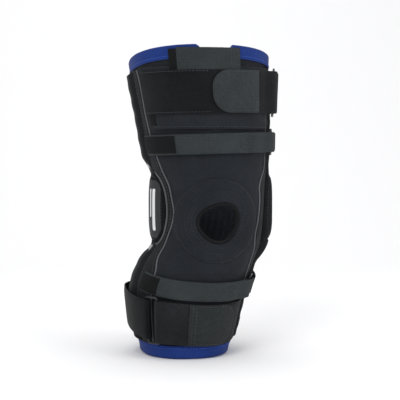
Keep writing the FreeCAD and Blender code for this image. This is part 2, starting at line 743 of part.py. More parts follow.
def main():
    os.makedirs(OUT, exist_ok=True)
    for old in os.listdir(OUT):
        os.remove(os.path.join(OUT, old))
    sleeve_and_bindings()
    knee_panels()
    closure_tab()
    for side in SIDE:
        hinge(side)
        for part in ("upper", "lower"):
            arm(side, part)
        for body in ("thigh", "calf"):
            side_trim(side, body)
    for name in STRAPS:
        strap_set(name)
    print(len(BODY_OF), "nodes")


main()
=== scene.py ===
import math

import bmesh
import bpy
import numpy as np
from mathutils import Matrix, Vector


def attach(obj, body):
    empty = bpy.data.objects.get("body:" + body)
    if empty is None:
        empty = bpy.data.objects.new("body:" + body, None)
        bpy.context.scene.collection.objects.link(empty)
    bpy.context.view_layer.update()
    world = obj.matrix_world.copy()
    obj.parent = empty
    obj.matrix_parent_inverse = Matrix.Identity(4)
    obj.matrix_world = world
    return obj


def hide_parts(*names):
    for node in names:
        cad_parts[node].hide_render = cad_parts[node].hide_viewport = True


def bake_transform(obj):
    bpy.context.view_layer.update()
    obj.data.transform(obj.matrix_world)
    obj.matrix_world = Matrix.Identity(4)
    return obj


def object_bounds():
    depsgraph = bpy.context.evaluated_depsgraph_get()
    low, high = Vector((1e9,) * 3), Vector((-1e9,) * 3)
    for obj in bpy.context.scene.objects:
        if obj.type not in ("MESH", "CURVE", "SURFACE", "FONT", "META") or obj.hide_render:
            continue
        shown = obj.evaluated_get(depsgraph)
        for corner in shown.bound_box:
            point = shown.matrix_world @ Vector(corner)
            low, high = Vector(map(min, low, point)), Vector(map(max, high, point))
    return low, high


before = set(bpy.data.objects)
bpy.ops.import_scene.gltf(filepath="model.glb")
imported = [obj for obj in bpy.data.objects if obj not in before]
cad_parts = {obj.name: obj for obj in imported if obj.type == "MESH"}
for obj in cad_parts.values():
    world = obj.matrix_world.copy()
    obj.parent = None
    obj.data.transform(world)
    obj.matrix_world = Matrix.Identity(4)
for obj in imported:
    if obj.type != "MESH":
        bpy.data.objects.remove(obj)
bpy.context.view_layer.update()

# The limb inside the brace, millimetres: edges of its section at each height
limb = {
    "height": [-165, -130, -105, -80, -55, -36, -15, 5, 30, 60, 100, 140, 180],
    "lateral": [-68.5, -73.5, -76.5, -77.5, -68.5, -56.0, -51.5, -50.5, -54.0, -64.0, -71.5, -79.5, -86.0],
    "medial": [11.0, 20.0, 26.0, 32.5, 41.0, 47.5, 51.0, 52.5, 53.5, 54.5, 55.5, 57.0, 58.5],
    "front": [-46.0, -50.0, -53.0, -55.0, -58.0, -60.5, -62.5, -63.0, -63.5, -66.0, -69.0, -71.5, -73.0],
    "back": [58.0, 66.0, 70.0, 71.0, 67.0, 64.0, 62.0, 62.0, 63.0, 67.0, 73.0, 77.5, 80.0],
    "squareness": 2.3,
}
layers = {"sleeve": 3.0, "panelIn": 3.25, "panelOut": 4.75}  # distances out from the skin
kneeBend = {"upper": (62.0, 12.0), "lower": (-12.0, -62.0)}  # heights between which cloth turns
wornStretch = 1.08  # how much wider the cloth is on the leg than it was cut


def cubicPieces(knots, values, slopes, x, held=False):
    # a cubic between each two knots, with the slope given at each; held keeps the ends level past the table
    i = np.clip(np.searchsorted(knots, x, side="right") - 1, 0, len(knots) - 2)
    w = knots[i + 1] - knots[i]
    t = (x - knots[i]) / w
    if held:
        t = np.clip(t, 0, 1)
    return (values[i] * (2 * t**3 - 3 * t**2 + 1) + slopes[i] * w * (t**3 - 2 * t**2 + t)
            + values[i + 1] * (3 * t**2 - 2 * t**3) + slopes[i + 1] * w * (t**3 - t**2))


def limbEdge(z, side):
    # cubic pieces through the table, each with the average slope of its two neighbours
    h, v = np.array(limb["height"], float), np.array(limb[side], float)
    m = np.empty_like(v)
    m[1:-1] = (v[2:] - v[:-2]) / (h[2:] - h[:-2])
    m[0], m[-1] = (v[1] - v[0]) / (h[1] - h[0]), (v[-1] - v[-2]) / (h[-1] - h[-2])
    return cubicPieces(h, v, m, z)


def sectionAt(z, d):
    # the section's centre in x and y, and its half widths, d outside the skin
    lat, med, fro, bac = (limbEdge(z, s) for s in ("lateral", "medial", "front", "back"))
    return (lat + med) / 2, (fro + bac) / 2, (med - lat) / 2 + d, (bac - fro) / 2 + d


def onLimb(phi, z, d):
    # superellipse section: phi degrees round from the front towards medial, d outside the skin
    phi, z, d = np.broadcast_arrays(np.asarray(phi, float), np.asarray(z, float), np.asarray(d, float))
    midX, midY, a, b = sectionAt(z, d)
    s, c = np.sin(np.radians(phi)), np.cos(np.radians(phi))
    p = limb["squareness"]
    r = (np.abs(s / a) ** p + np.abs(c / b) ** p) ** (-1 / p)
    return np.stack([midX + r * s, midY - r * c, z], -1)


def phiAtX(x, z, d):
    # the angle at which the section's front edge stands at that x
    midX, _, a, b = sectionAt(z, d)
    p = limb["squareness"]
    u = np.clip((x - midX) / a, -0.999, 0.999)
    y = b * (1 - np.abs(u) ** p) ** (1 / p)
    return np.degrees(np.arctan2(u * a, y))


def phiAtY(y, z, d, side):
    # the angle at which the section's edge stands at that y, on one side (-1 lateral, 1 medial)
    _, midY, a, b = sectionAt(z, d)
    p = limb["squareness"]
    v = np.clip((y - midY) / b, -0.999, 0.999)
    x = a * (1 - np.abs(v) ** p) ** (1 / p)
    return side * np.degrees(np.arctan2(x, -v * b))


def smooth(t):
    # an ease from 0 to 1, level at both ends
    t = np.clip(t, 0, 1)
    return t * t * (3 - 2 * t)


def curveThrough(xs, ys, x):
    # smooth curve through a few points
    xs, ys = np.array(xs, float), np.array(ys, float)
    return cubicPieces(xs, ys, np.gradient(ys, xs), x, True)


def runLength(line):
    # distance run along a line of points, from its start
    return np.concatenate([[0], np.cumsum(np.linalg.norm(np.diff(line, axis=0), axis=1))])


def unit(v):
    # each row made one long
    return v / np.linalg.norm(v, axis=1, keepdims=True)


def squareTo(v, along):
    # the part of v at right angles to along, made one long
    return unit(v - np.einsum("ij,ij->i", v, along)[:, None] * along)


# from arrays to objects
def addMesh(name, points, faces, uv=None, sharp=50):
    # points in millimetres; uv holds one pair for each face corner
    mesh = bpy.data.meshes.new(name)
    mesh.from_pydata((np.asarray(points, float) / 1000).tolist(), [], [list(map(int, f)) for f in faces])
    if uv is not None:
        layer = mesh.uv_layers.new(name="cloth")
        layer.data.foreach_set("uv", np.asarray(uv, np.float32).ravel() / 1000)
    mesh.validate()
    mesh.polygons.foreach_set("use_smooth", np.ones(len(mesh.polygons), bool))
    mesh.update()
    if sharp:
        mesh.set_sharp_from_angle(angle=math.radians(sharp))
    obj = bpy.data.objects.new(name, mesh)
    bpy.context.scene.collection.objects.link(obj)
    return obj


def gridFaces(nu, nv, closedU, closedV):
    # four-sided faces of a grid of points, joined round in either direction if closed
    i, j = np.meshgrid(np.arange(nu if closedU else nu - 1), np.arange(nv if closedV else nv - 1), indexing="ij")
    i, j = i.ravel(), j.ravel()
    corners = [(i, j), (i + 1, j), (i + 1, j + 1), (i, j + 1)]
    return np.stack([(a % nu) * nv + b % nv for a, b in corners], 1), corners


def signedVolume(points, faces):
    # above 0 when the faces look outwards
    a, b, c, d = (points[faces[:, k]] for k in range(4))
    return float((np.einsum("ij,ij->i", a, np.cross(b, c)) + np.einsum("ij,ij->i", a, np.cross(c, d))).sum())


def addLoops(name, points, u, v, closedU=False, caps=True, sharp=50):
    # closed outlines (second index) carried along a path (first index), with the ends closed
    nu, nv = points.shape[:2]
    faces, corners = gridFaces(nu, nv, closedU, True)
    flat = points.reshape(-1, 3)
    uNext = np.append(u, u[-1] + (u[-1] - u[-2])) if closedU else u
    vNext = np.append(v, v[0])
    uv = np.stack([np.stack([uNext[a], vNext[b]], 1) for a, b in corners], 1)
    if caps and not closedU:
        half = nv // 2
        j = np.arange(half - 1)
        first = np.stack([j, j + 1, nv - 2 - j, nv - 1 - j], 1)
        lastRow = (nu - 1) * nv
        last = lastRow + first[:, ::-1]
        capUv = np.stack([np.stack([v[k % nv] * 0, v[k % nv]], 1) for k in first.T], 1)
        faces = np.concatenate([faces, first, last])
        uv = np.concatenate([uv, capUv, capUv[:, ::-1]])
    if signedVolume(flat, faces) < 0:
        faces, uv = faces[:, ::-1], uv[:, ::-1]
    return addMesh(name, flat, faces, uv, sharp)


def tapeOutline(rows, rounding):
    # outline of a flat tape: t across it from 0 to 1, k through it from -1 to 1, with round edges
    a = np.radians([15, 45, 75])
    edge = rounding * (1 - np.cos(a))
    inner = np.linspace(0, 1, rows)[1:-1]
    t = np.concatenate([edge, rounding + (1 - 2 * rounding) * inner, 1 - edge[::-1]])
    k = np.concatenate([np.sin(a), np.ones(len(inner)), np.sin(a)[::-1]])
    return np.concatenate([t, t[::-1]]), np.concatenate([k, -k[::-1]])


def tape(name, phi, d, low, high, thick, rows=6, closed=False, puff=0.0, lift=None):
    # a tape's outline carried along the path (phi, d); low and high are its edges' heights,
    # its middle line stands d from the skin, puff crowns its outer face, lift(phi, z) moves it out
    phi, d = np.asarray(phi, float), np.broadcast_to(np.asarray(d, float), np.shape(phi)).astype(float)
    low, high = (np.broadcast_to(np.asarray(q, float), phi.shape) for q in (low, high))
    mid = onLimb(phi, (low + high) / 2, d)
    step = np.gradient(mid, axis=0)
    length = np.linalg.norm(step, axis=1)
    u = runLength(mid)
    dd = np.gradient(d) / length
    across = np.sqrt(np.clip(1 - dd**2, 0, 1)) * np.sign(np.gradient(phi))
    degPerMm = np.degrees(1 / np.linalg.norm(mid[:, :2] - np.stack(sectionAt(mid[:, 2], 0)[:2], 1), axis=1))
    t, k = tapeOutline(rows, min(0.3, thick / 2 / max(1e-6, float(np.median(high - low)))))
    off = k[None, :] * thick / 2
    crown = np.where(k > 0, puff * (1 - (2 * t - 1) ** 4), 0.0)[None, :]
    z = low[:, None] + (high - low)[:, None] * t[None, :]
    grow = off + crown
    phiGrid = phi[:, None] - grow * (dd * degPerMm)[:, None]
    dGrid = d[:, None] + grow * across[:, None] * np.sign(across[len(across) // 2])
    if lift is not None:
        dGrid = dGrid + lift(phiGrid, z)
    points = onLimb(phiGrid, z, dGrid)
    v = np.where(k > 0, 1, -1) * (t * float(np.median(high - low)))
    if closed:
        points, u = points[:-1], u[:-1]
    return addLoops(name, points, u, v, closed)


def plate(name, sPath, tPath, place, inner, outer, rounding=0.08, rows=14, cols=40):
    # a cloth panel with thickness: place(s, t) gives (phi, z) for s along it and t across it
    s = np.linspace(0, 1, cols)
    t, k = tapeOutline(rows, rounding)
    sGrid, tGrid = np.meshgrid(s, t, indexing="ij")
    phi, z = place(sGrid, tGrid)
    mid, half = (inner + outer) / 2, (outer - inner) / 2
    points = onLimb(phi, z, mid + half * k[None, :])
    return addLoops(name, points, s * sPath, np.where(k > 0, 1, -1) * t * tPath)


def roundAlong(name, line, out, side, radius, closed, sides=10):
    # a round section carried along a line of points; out and side span it at each point
    a = np.linspace(0, 2 * np.pi, sides, endpoint=False)
    ring = np.cos(a)[None, :, None] * out[:, None] + np.sin(a)[None, :, None] * side[:, None]
    return addLoops(name, line[:, None] + radius * ring, runLength(line), a * radius, closed)


def tubeAlong(name, line, radius):
    # a round section carried along a closed line
    along = unit(np.roll(line, -1, 0) - np.roll(line, 1, 0))
    side = unit(np.cross(along, np.tile([1.0, 0, 0], (len(line), 1))))
    return roundAlong(name, line, np.cross(side, along), side, radius, True)


def cordAlong(name, phi, z, d, radius):
    # a round section carried along an open line on the limb
    line = onLimb(phi, z, d)
    along = unit(np.gradient(line, axis=0))
    out = squareTo(onLimb(phi, z, np.asarray(d) + 1) - line, along)
    return roundAlong(name, line, out, np.cross(along, out), radius, False)


stitchStore = {}
# look is how far along the line, each way, sets a stitch's direction
thread = {"pitch": 3.4, "length": 2.5, "radius": 0.28, "sides": 5, "look": 0.6}


def stitchLine(group, line, out):
    # short tapered rods laid end to end along a line of points, half sunk into the cloth
    step = runLength(line)
    count = max(1, int(step[-1] / thread["pitch"]))
    at = (np.arange(count) + 0.5) * step[-1] / count

    def sample(values, where):
        return np.stack([np.interp(where, step, values[:, k]) for k in range(3)], 1)

    along = unit(sample(line, np.minimum(at + thread["look"], step[-1]))
                 - sample(line, np.maximum(at - thread["look"], 0)))
    base, normal = sample(line, at), squareTo(sample(out, at), along)
    stitchStore.setdefault(group, []).append((base, along, np.cross(along, normal), normal))


def stitchOnLimb(group, phi, z, d):
    # a row of stitches along a line on the limb
    phi, z, d = np.broadcast_arrays(np.asarray(phi, float), np.asarray(z, float), np.asarray(d, float))
    line = onLimb(phi, z, d)
    stitchLine(group, line, onLimb(phi, z, d + 1) - line)


def sewAll(materialOf):
    # every stored row becomes real thread, one object for each group
    made = {}
    n = thread["sides"]
    a = np.linspace(0, 2 * np.pi, n, endpoint=False)
    x = np.array([-0.5, -0.3, 0.3, 0.5]) * thread["length"]
    fat = np.array([0.35, 1.0, 1.0, 0.35]) * thread["radius"]
    drop = np.array([-0.16, 0.08, 0.08, -0.16])
    template = np.stack([
        np.repeat(x, n), np.outer(fat, np.cos(a)).ravel(), (np.outer(fat, np.sin(a)) + drop[:, None]).ravel()], 1)
    side, _ = gridFaces(4, n, False, True)
    ends = [list(range(n))[::-1], list(range(3 * n, 4 * n))]
    for group, runs in stitchStore.items():
        base, along, across, normal = (np.concatenate([r[k] for r in runs]) for k in range(4))
        points = (base[:, None] + template[None, :, 0:1] * along[:, None]
                  + template[None, :, 1:2] * across[:, None] + template[None, :, 2:3] * normal[:, None])
        faces = []
        for k in range(len(base)):
            faces += (side[:, ::-1] + 4 * n * k).tolist() + [[q + 4 * n * k for q in e[::-1]] for e in ends]
        obj = addMesh(group, points.reshape(-1, 3), faces, None, 0)
        turnOutwards(obj)
        obj.data.materials.append(materialOf)
        made[group] = obj
    return made


def turnOutwards(obj):
    # faces of a closed piece made to look outwards
    bm = bmesh.new()
    bm.from_mesh(obj.data)
    bmesh.ops.recalc_face_normals(bm, faces=bm.faces)
    bm.to_mesh(obj.data)
    bm.free()


def bake(obj):
    # the finished mesh takes the place of the modifiers
    graph = bpy.context.evaluated_depsgraph_get()
    done = bpy.data.meshes.new_from_object(obj.evaluated_get(graph), depsgraph=graph)
    obj.modifiers.clear()
    obj.data = done


def lineInside(obj, material):
    # faces that look towards the limb's middle get the lining
    count = len(obj.data.polygons)
    centre, normal = np.empty(count * 3), np.empty(count * 3)
    obj.data.polygons.foreach_get("center", centre)
    obj.data.polygons.foreach_get("normal", normal)
    centre, normal = centre.reshape(-1, 3) * 1000, normal.reshape(-1, 3)
    midX, midY = sectionAt(centre[:, 2], 0)[:2]
    out = (centre[:, 0] - midX) * normal[:, 0] + (centre[:, 1] - midY) * normal[:, 1]
    obj.data.materials.append(finish[material])
    obj.data.polygons.foreach_set("material_index", (out < -10).astype(np.int32))


def cutSize(phi, low, high):
    # width and length in metres that a panel was cut to, from its arc and its mean height
    phi, low, high = np.broadcast_arrays(phi, low, high)
    line = onLimb(phi, (low + high) / 2, layers["sleeve"] / 2)
    width = np.linalg.norm(np.diff(line, axis=0), axis=1).sum()
    return (float(width) / wornStretch / 1000, float(np.mean(high - low)) / 1000)


def halves(obj):
    # cuts a piece at the height of the knee and closes both cuts
    found = []
    for name, clear in (("Upper", "clear_inner"), ("Lower", "clear_outer")):
        mesh = obj.data.copy()
        bm = bmesh.new()
        bm.from_mesh(mesh)
        bmesh.ops.bisect_plane(bm, geom=bm.verts[:] + bm.edges[:] + bm.faces[:], dist=1e-7,
                               plane_co=(0, 0, 0), plane_no=(0, 0, 1), **{clear: True})
        edges = [e for e in bm.edges if e.is_boundary and all(abs(v.co.z) < 1e-6 for v in e.verts)]
        if edges:
            bmesh.ops.holes_fill(bm, edges=edges, sides=0)
        empty = len(bm.faces) == 0
        bm.to_mesh(mesh)
        bm.free()
        if empty:
            continue
        mesh.set_sharp_from_angle(angle=math.radians(50))
        part = bpy.data.objects.new(obj.name + name, mesh)
        bpy.context.scene.collection.objects.link(part)
        found.append((name, part))
    bpy.data.objects.remove(obj)
    return found


def bendWithKnee(obj):
    # cloth over the knee: cut at the knee's height into a piece above it and a piece below it
    made = []
    for name, part in halves(obj):
        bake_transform(part)
        made.append(part)
    return made


# materials
def linear(hexColour):
    # sRGB hex to linear light
    c = np.array([int(hexColour[k:k + 2], 16) for k in (1, 3, 5)]) / 255
    c = np.where(c <= 0.04045, c / 12.92, ((c + 0.055) / 1.055) ** 2.4)
    return (*c.tolist(), 1.0)


def addNode(tree, kind, inputs=None, **settings):
    # adds a node: settings first, then its inputs, linked where a value is a socket
    made = tree.nodes.new(kind)
    for key, value in settings.items():
        setattr(made, key, value)
    for key, value in (inputs or {}).items():
        if isinstance(value, bpy.types.NodeSocket):
            tree.links.new(value, made.inputs[key])
        else:
            made.inputs[key].default_value = value
    return made


def startMaterial(name, roughness, **sockets):
    # a new material with constants on its shader's own sockets
    material = bpy.data.materials.new(name)
    material.use_nodes = True
    tree = material.node_tree
    shader = tree.nodes["Principled BSDF"]
    shader.inputs["Roughness"].default_value = roughness
    for key, value in sockets.items():
        shader.inputs[key.replace("_", " ")].default_value = value
    return material, tree, shader


def dress(tree, shader, colour, factor, height, strength, relief):
    # the colour is shaded by a factor, and the surface raised by a height, relief in millimetres
    tint = addNode(tree, "ShaderNodeVectorMath", {0: colour, "Scale": factor}, operation="SCALE")
    bump = addNode(tree, "ShaderNodeBump", {"Height": height, "Strength": strength, "Distance": relief / 1000})
    tree.links.new(tint.outputs["Vector"], shader.inputs["Base Color"])
    tree.links.new(bump.outputs["Normal"], shader.inputs["Normal"])


def cloth(name, colour, worn, spacing=(1.0, 1.0), relief=0.12, roughness=0.9, sheen=0.03, fuzz=0.3, ribs=0.0,
          useUv=True):
    # woven or knitted cloth: two crossed sets of threads at their real spacing in millimetres, with fuzz between
    # them, painted shade in the hollows between the threads, and slow changes of shade where it is rubbed
    material, tree, shader = startMaterial(name, roughness, Sheen_Weight=sheen, Sheen_Roughness=0.5)
    shader.inputs["Specular IOR Level"].default_value = 0.12
    place = addNode(tree, "ShaderNodeTexCoord")
    where = place.outputs["UV" if useUv else "Object"]
    perMm = 2 * math.pi / 20 * 1000  # a wave texture's scale for one band to the millimetre
    waves = [
        addNode(tree, "ShaderNodeTexWave", {"Vector": where, "Scale": perMm / gap, "Distortion": 0.6,
                                            "Detail": 1.0, "Detail Scale": 2.0},
                wave_type="BANDS", bands_direction=axis, wave_profile="SIN")
        for axis, gap in (("X", spacing[0]), ("Y", spacing[1]))
    ]
    weave = addNode(tree, "ShaderNodeMath", {0: waves[0].outputs["Fac"], 1: waves[1].outputs["Fac"]},
                    operation="MAXIMUM" if ribs == 0 else "MULTIPLY")
    fluff = addNode(tree, "ShaderNodeTexNoise", {"Vector": place.outputs["Object"], "Scale": 380.0, "Detail": 4.0,
                                                 "Roughness": 0.65})
    slow = addNode(tree, "ShaderNodeTexNoise", {"Vector": place.outputs["Object"], "Scale": 22.0, "Detail": 4.0,
                                                "Roughness": 0.6})
    shade = addNode(tree, "ShaderNodeMapRange", {"Value": slow.outputs["Fac"], "From Min": 0.38, "From Max": 0.68,
                                                 "To Min": 0.0, "To Max": 0.6})
    base = addNode(tree, "ShaderNodeMix", {0: shade.outputs["Result"], 6: linear(colour), 7: linear(worn)},
                   data_type="RGBA")
    # painted shade: the colour is darker in the hollows of the weave, with a faint painted highlight on its crowns
    deep = addNode(tree, "ShaderNodeMapRange", {"Value": weave.outputs["Value"], "To Min": 0.72, "To Max": 1.08})
    fuzzy = addNode(tree, "ShaderNodeMapRange", {"Value": fluff.outputs["Fac"], "To Min": 1 - fuzz,
                                                 "To Max": 1 + fuzz})
    both = addNode(tree, "ShaderNodeMath", {0: deep.outputs["Result"], 1: fuzzy.outputs["Result"]},
                   operation="MULTIPLY")
    height = addNode(tree, "ShaderNodeMath", {0: weave.outputs["Value"], 1: fluff.outputs["Fac"]}, operation="ADD")
    dress(tree, shader, base.outputs[2], both.outputs["Value"], height.outputs["Value"], 0.7, relief)
    return material


def plastic(name, colour, roughness, grain=0.6, relief=0.03, ior=1.48):
    # moulded plastic: a fine even grain left by the mould, in millimetres
    material, tree, shader = startMaterial(name, roughness, IOR=ior)
    place = addNode(tree, "ShaderNodeTexCoord")
    grit = addNode(tree, "ShaderNodeTexNoise", {"Vector": place.outputs["Object"], "Scale": 1000 / grain,
                                                "Detail": 2.0})
    slow = addNode(tree, "ShaderNodeTexNoise", {"Vector": place.outputs["Object"], "Scale": 40.0})
    tone = addNode(tree, "ShaderNodeMapRange", {"Value": slow.outputs["Fac"], "To Min": 0.85, "To Max": 1.15})
    rub = addNode(tree, "ShaderNodeMapRange", {"Value": slow.outputs["Fac"], "To Min": roughness * 0.8,
                                               "To Max": roughness * 1.25})
    tree.links.new(rub.outputs["Result"], shader.inputs["Roughness"])
    dress(tree, shader, linear(colour)[:3], tone.outputs["Result"], grit.outputs["Fac"], 0.5, relief)
    return material


def metal(name, colour, roughness, scratch=0.25):
    # rolled sheet metal: fine lines along the rolling direction
    material, tree, shader = startMaterial(name, roughness, Metallic=1.0)
    place = addNode(tree, "ShaderNodeTexCoord")
    turn = addNode(tree, "ShaderNodeMapping", {"Vector": place.outputs["Object"], "Scale": (3000.0, 3000.0, 60.0)})
    lines = addNode(tree, "ShaderNodeTexNoise", {"Vector": turn.outputs["Vector"], "Scale": 1.0, "Detail": 2.0})
    rub = addNode(tree, "ShaderNodeMapRange", {"Value": lines.outputs["Fac"], "To Min": roughness * 0.7,
                                               "To Max": roughness * 1.4})
    tree.links.new(rub.outputs["Result"], shader.inputs["Roughness"])
    tone = addNode(tree, "ShaderNodeMapRange", {"Value": lines.outputs["Fac"], "To Min": 0.9, "To Max": 1.05})
    dress(tree, shader, linear(colour)[:3], tone.outputs["Result"], lines.outputs["Fac"], scratch, 0.01)
    return material


finish = {
    # knitted nylon laminated on foam rubber: an even matt surface of tiny loops
    "neoprene": cloth("nylonFacedNeoprene", "#1c1e22", "#25282c", (1.5, 1.5), 0.14),
    # four-way stretch knit: matt, with fine wales that run up the leg
    "kneeKnit": cloth("stretchKnit", "#1e2125", "#272a2f", (1.8, 1.3), 0.2),
    # the same laminate brushed: a touch paler and drier
    "flapCloth": cloth("brushedLaminate", "#202327", "#292c30", (1.4, 1.4), 0.14, fuzz=0.4),
    # flat woven nylon: a duller, drier black than the knit
    "sideCloth": cloth("nylonPackCloth", "#191b1c", "#222426", (1.4, 1.4), 0.16, fuzz=0.25),
    # elastic ribs up the back of the knee, which catch light along their crowns
    "backKnit": cloth("ribbedStretchKnit", "#1b1e22", "#25282c", (2.6, 1.4), 0.5, ribs=1.0),
    # looped towelling against the skin: pale grey, rough and even
    "lining": cloth("terryLining", "#5a5e65", "#6b6f76", (1.5, 1.5), 0.25, fuzz=0.5),
    # brushed loop pile: soft and very dark, paler where it has been pulled
    "velour": cloth("brushedLoopPile", "#121316", "#1b1d20", (1.2, 1.2), 0.22, 0.97, 0.06, 0.6),
    # the same pile rubbed by the calf: slightly paler
    "calfVelour": cloth("rubbedLoopPile", "#1b1e20", "#27292c", (1.2, 1.2), 0.22, 0.97, 0.05, 0.6),
    # coarser pile on the tab ends: a greyer, broken surface
    "darkVelour": cloth("coarseLoopPile", "#272a2b", "#313435", (1.2, 1.2), 0.22, 0.97, 0.05, 0.55),
    # moulded hooks in rows: a hard dark grain
    "hook": cloth("mouldedHookTape", "#101112", "#191a1c", (1.8, 1.8), 0.4, 0.8, 0.0, 0.5),
    # heavy woven nylon: cross ribs and a slight shine on each pick
    "webbing": cloth("wovenNylonWebbing", "#2f3436", "#3b4143", (2.2, 1.5), 0.3, 0.75, 0.04, 0.25, ribs=1.0),
    # webbing brushed on one face: soft mid grey
    "tabCloth": cloth("brushedNylonWebbing", "#2e3234", "#3a3f41", (1.4, 1.4), 0.2, 0.9, 0.05, 0.4),
    # the same weave dyed black: ribs show only in the light
    "blackWebbing": cloth("blackNylonWebbing", "#111214", "#1a1c1e", (2.2, 1.5), 0.3, 0.7, 0.03, 0.2,
                          ribs=1.0),
    # folded elastic tape: bright dyed yarn with a fine cross rib
    "binding": cloth("elasticBindingTape", "#1b3478", "#223f8a", (1.8, 1.1), 0.22, 0.8, 0.05, 0.2, ribs=1.0),
    # cord wrapped in bias tape: one fine pale line
    "piping": cloth("cordedPiping", "#5a5c60", "#6c6e72", (0.9, 0.9), 0.10, 0.8, 0.03, 0.2),
    # knit over foam: nearly black, with no shine
    "cover": cloth("paddedKnitCover", "#101214", "#191b1e", (1.4, 1.1), 0.16, sheen=0.0, useUv=False),
    # twisted polyester thread: thin, with a slight gleam
    "thread": cloth("polyesterThread", "#393d41", "#494d52", (0.6, 0.6), 0.03, 0.5, 0.1, 0.1, useUv=False),
    "darkThread": cloth("blackPolyesterThread", "#303338", "#3c3f44", (0.6, 0.6), 0.03, 0.5, 0.1, 0.1,
                        useUv=False),
    "blueThread": cloth("dyedPolyesterThread", "#3558b4", "#4064c0", (0.6, 0.6), 0.03, 0.5, 0.1, 0.1,
                        useUv=False),
    # moulded acetal: slick and nearly black, with a soft broad highlight
    "ring": plastic("mouldedAcetal", "#0f1013", 0.3),
    # dipped vinyl: black, softly rounded light
    "cap": plastic("dippedVinyl", "#121213", 0.45),
    # undyed nylon: milky off-white
    "nylon": plastic("naturalNylon", "#cfccc2", 0.4),
    # moulded soft rubber: dark, matt and finely pitted
    "badge": plastic("mouldedSoftRubber", "#1e2124", 0.65, 0.9, 0.06),
    # printed white ink: flat and slightly raised
    "bars": plastic("screenedWhiteInk", "#d6d8da", 0.45, 0.5, 0.02),
    # closed-cell foam: black and dusty, no highlight
    "foam": plastic("closedCellFoam", "#1b1c1e", 0.9, 1.2, 0.2),
    # anodised sheet: dull grey with faint rolling lines
    "aluminium": metal("anodisedAluminium", "#8f9193", 0.38),
    # stamped stainless sheet: brighter, the same fine lines
    "steel": metal("stampedStainless", "#a9abae", 0.3),
}
print("materials", len(finish))


def wear(obj, material, body=None, nodes=()):
    # finish, body and CAD nodes for a piece or a list of them
    for part in obj if isinstance(obj, list) else [obj]:
        part.data.materials.clear()
        part.data.materials.append(finish[material])
        if body:
            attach(part, body)
        if nodes:
            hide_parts(*nodes)
    return obj


# sleeve: a ring of neoprene above the knee and one below, and the parts between them
sleeve = {
    "topFront": 159.5, "topTilt": -0.15, "notch": (-9.0, 17.5), "notchDepth": 5.0, "bottom": -151.0,
    "bindingHeight": 12.0, "bindingThickness": 1.0, "thighCut": (77.0, 0.64), "calfCut": (-86.0, -0.46),
    "hem": 0.8, "crease": 0.4, "slack": 0.35, "stitchIn": 2.2, "meanRadius": 68,
}


def topEdge(phi):
    # the sleeve's top edge, higher in front, with the closure's notch
    y = onLimb(phi, 160.0, 3.0)[..., 1]
    a, b = sleeve["notch"]
    dip = smooth((phi - a) / 2.5) * smooth((b - phi) / 2.5) * sleeve["notchDepth"]
    return sleeve["topFront"] + sleeve["topTilt"] * y - dip


def rigidThighEdge(phi):
    # lowest height at which the cloth goes with the thigh: a sloping cut, higher behind the knee
    a, b = sleeve["thighCut"]
    return np.maximum(kneeBend["upper"][0], a + b * onLimb(phi, 80.0, 3.0)[..., 1])


def rigidCalfEdge(phi):
    # highest height at which the cloth goes with the calf
    a, b = sleeve["calfCut"]
    return np.minimum(kneeBend["lower"][1], a + b * onLimb(phi, -80.0, 3.0)[..., 1])


def creases(phi, z):
    # slow waves in the cloth, and folds across it at the sides of the knee and between the straps
    near = np.exp(-(z / 60.0) ** 2)
    side = np.abs(np.sin(np.radians(phi)))
    fold = np.sin(0.30 * z + 1.6 * np.sin(np.radians(2 * phi)) + 0.4 * np.sin(np.radians(7 * phi)))
    band = np.exp(-((z - 97.0) / 9.0) ** 2) + np.exp(-((z + 63.0) / 9.0) ** 2)
    return (0.3 * np.sin(0.11 * z + 0.05 * phi) * np.cos(0.06 * phi)
            + near * side * 0.8 * fold + 0.6 * band * np.sin(0.21 * phi + 0.1 * z))


turnAll = np.linspace(-180, 180, 145)
thighEdges = rigidThighEdge(turnAll), topEdge(turnAll)
calfEdges = sleeve["bottom"] + 0 * turnAll, rigidCalfEdge(turnAll)
for body, (low, high), hemLow, hemHigh, rows in (
        ("thigh", thighEdges, 0, sleeve["hem"], 26), ("calf", calfEdges, sleeve["hem"], 0, 20)):
    tube = tape(body + "Sleeve", turnAll, layers["sleeve"] / 2, low + hemLow, high - hemHigh, layers["sleeve"],
                rows, True, lift=lambda p, z: creases(p, z) * sleeve["crease"])
    wear(tube, "neoprene", body, [body + "_sleeve"])
    lineInside(tube, "lining")
    cutSize(turnAll, low, high)


def foldedBinding(name, edge, way):
    # a tape folded over the sleeve's edge: up its outer face, round the edge and down inside
    t = sleeve["bindingThickness"]
    h = sleeve["bindingHeight"]
    a = np.radians(np.linspace(0, 180, 9))
    middle = layers["sleeve"] / 2
    r = middle + t / 2 + sleeve["slack"]
    outerD = np.concatenate([np.full(5, r + middle), middle + r * np.cos(a), np.full(5, middle - r)])
    outerZ = np.concatenate([np.linspace(-h, -1, 5), 1.1 * np.sin(a), np.linspace(-1, -h, 5)])
    dirD, dirZ = np.gradient(outerD), np.gradient(outerZ)
    n = np.hypot(dirD, dirZ)
    nd, nz = dirZ / n, -dirD / n
    half = t / 2
    loopD = np.concatenate([outerD + nd * half, (outerD - nd * half)[::-1]])
    loopZ = np.concatenate([outerZ + nz * half, (outerZ - nz * half)[::-1]])
    phi = np.linspace(-180, 180, 181)[:-1]
    z = edge(phi)[:, None] + way * (loopZ[None, :] - 0.6)
    points = onLimb(phi[:, None], z, loopD[None, :])
    u = np.radians(phi + 180) * sleeve["meanRadius"]
    v = np.concatenate([[0], np.cumsum(np.hypot(np.diff(loopD), np.diff(loopZ)))])
    return addLoops(name, points, u, v, True)


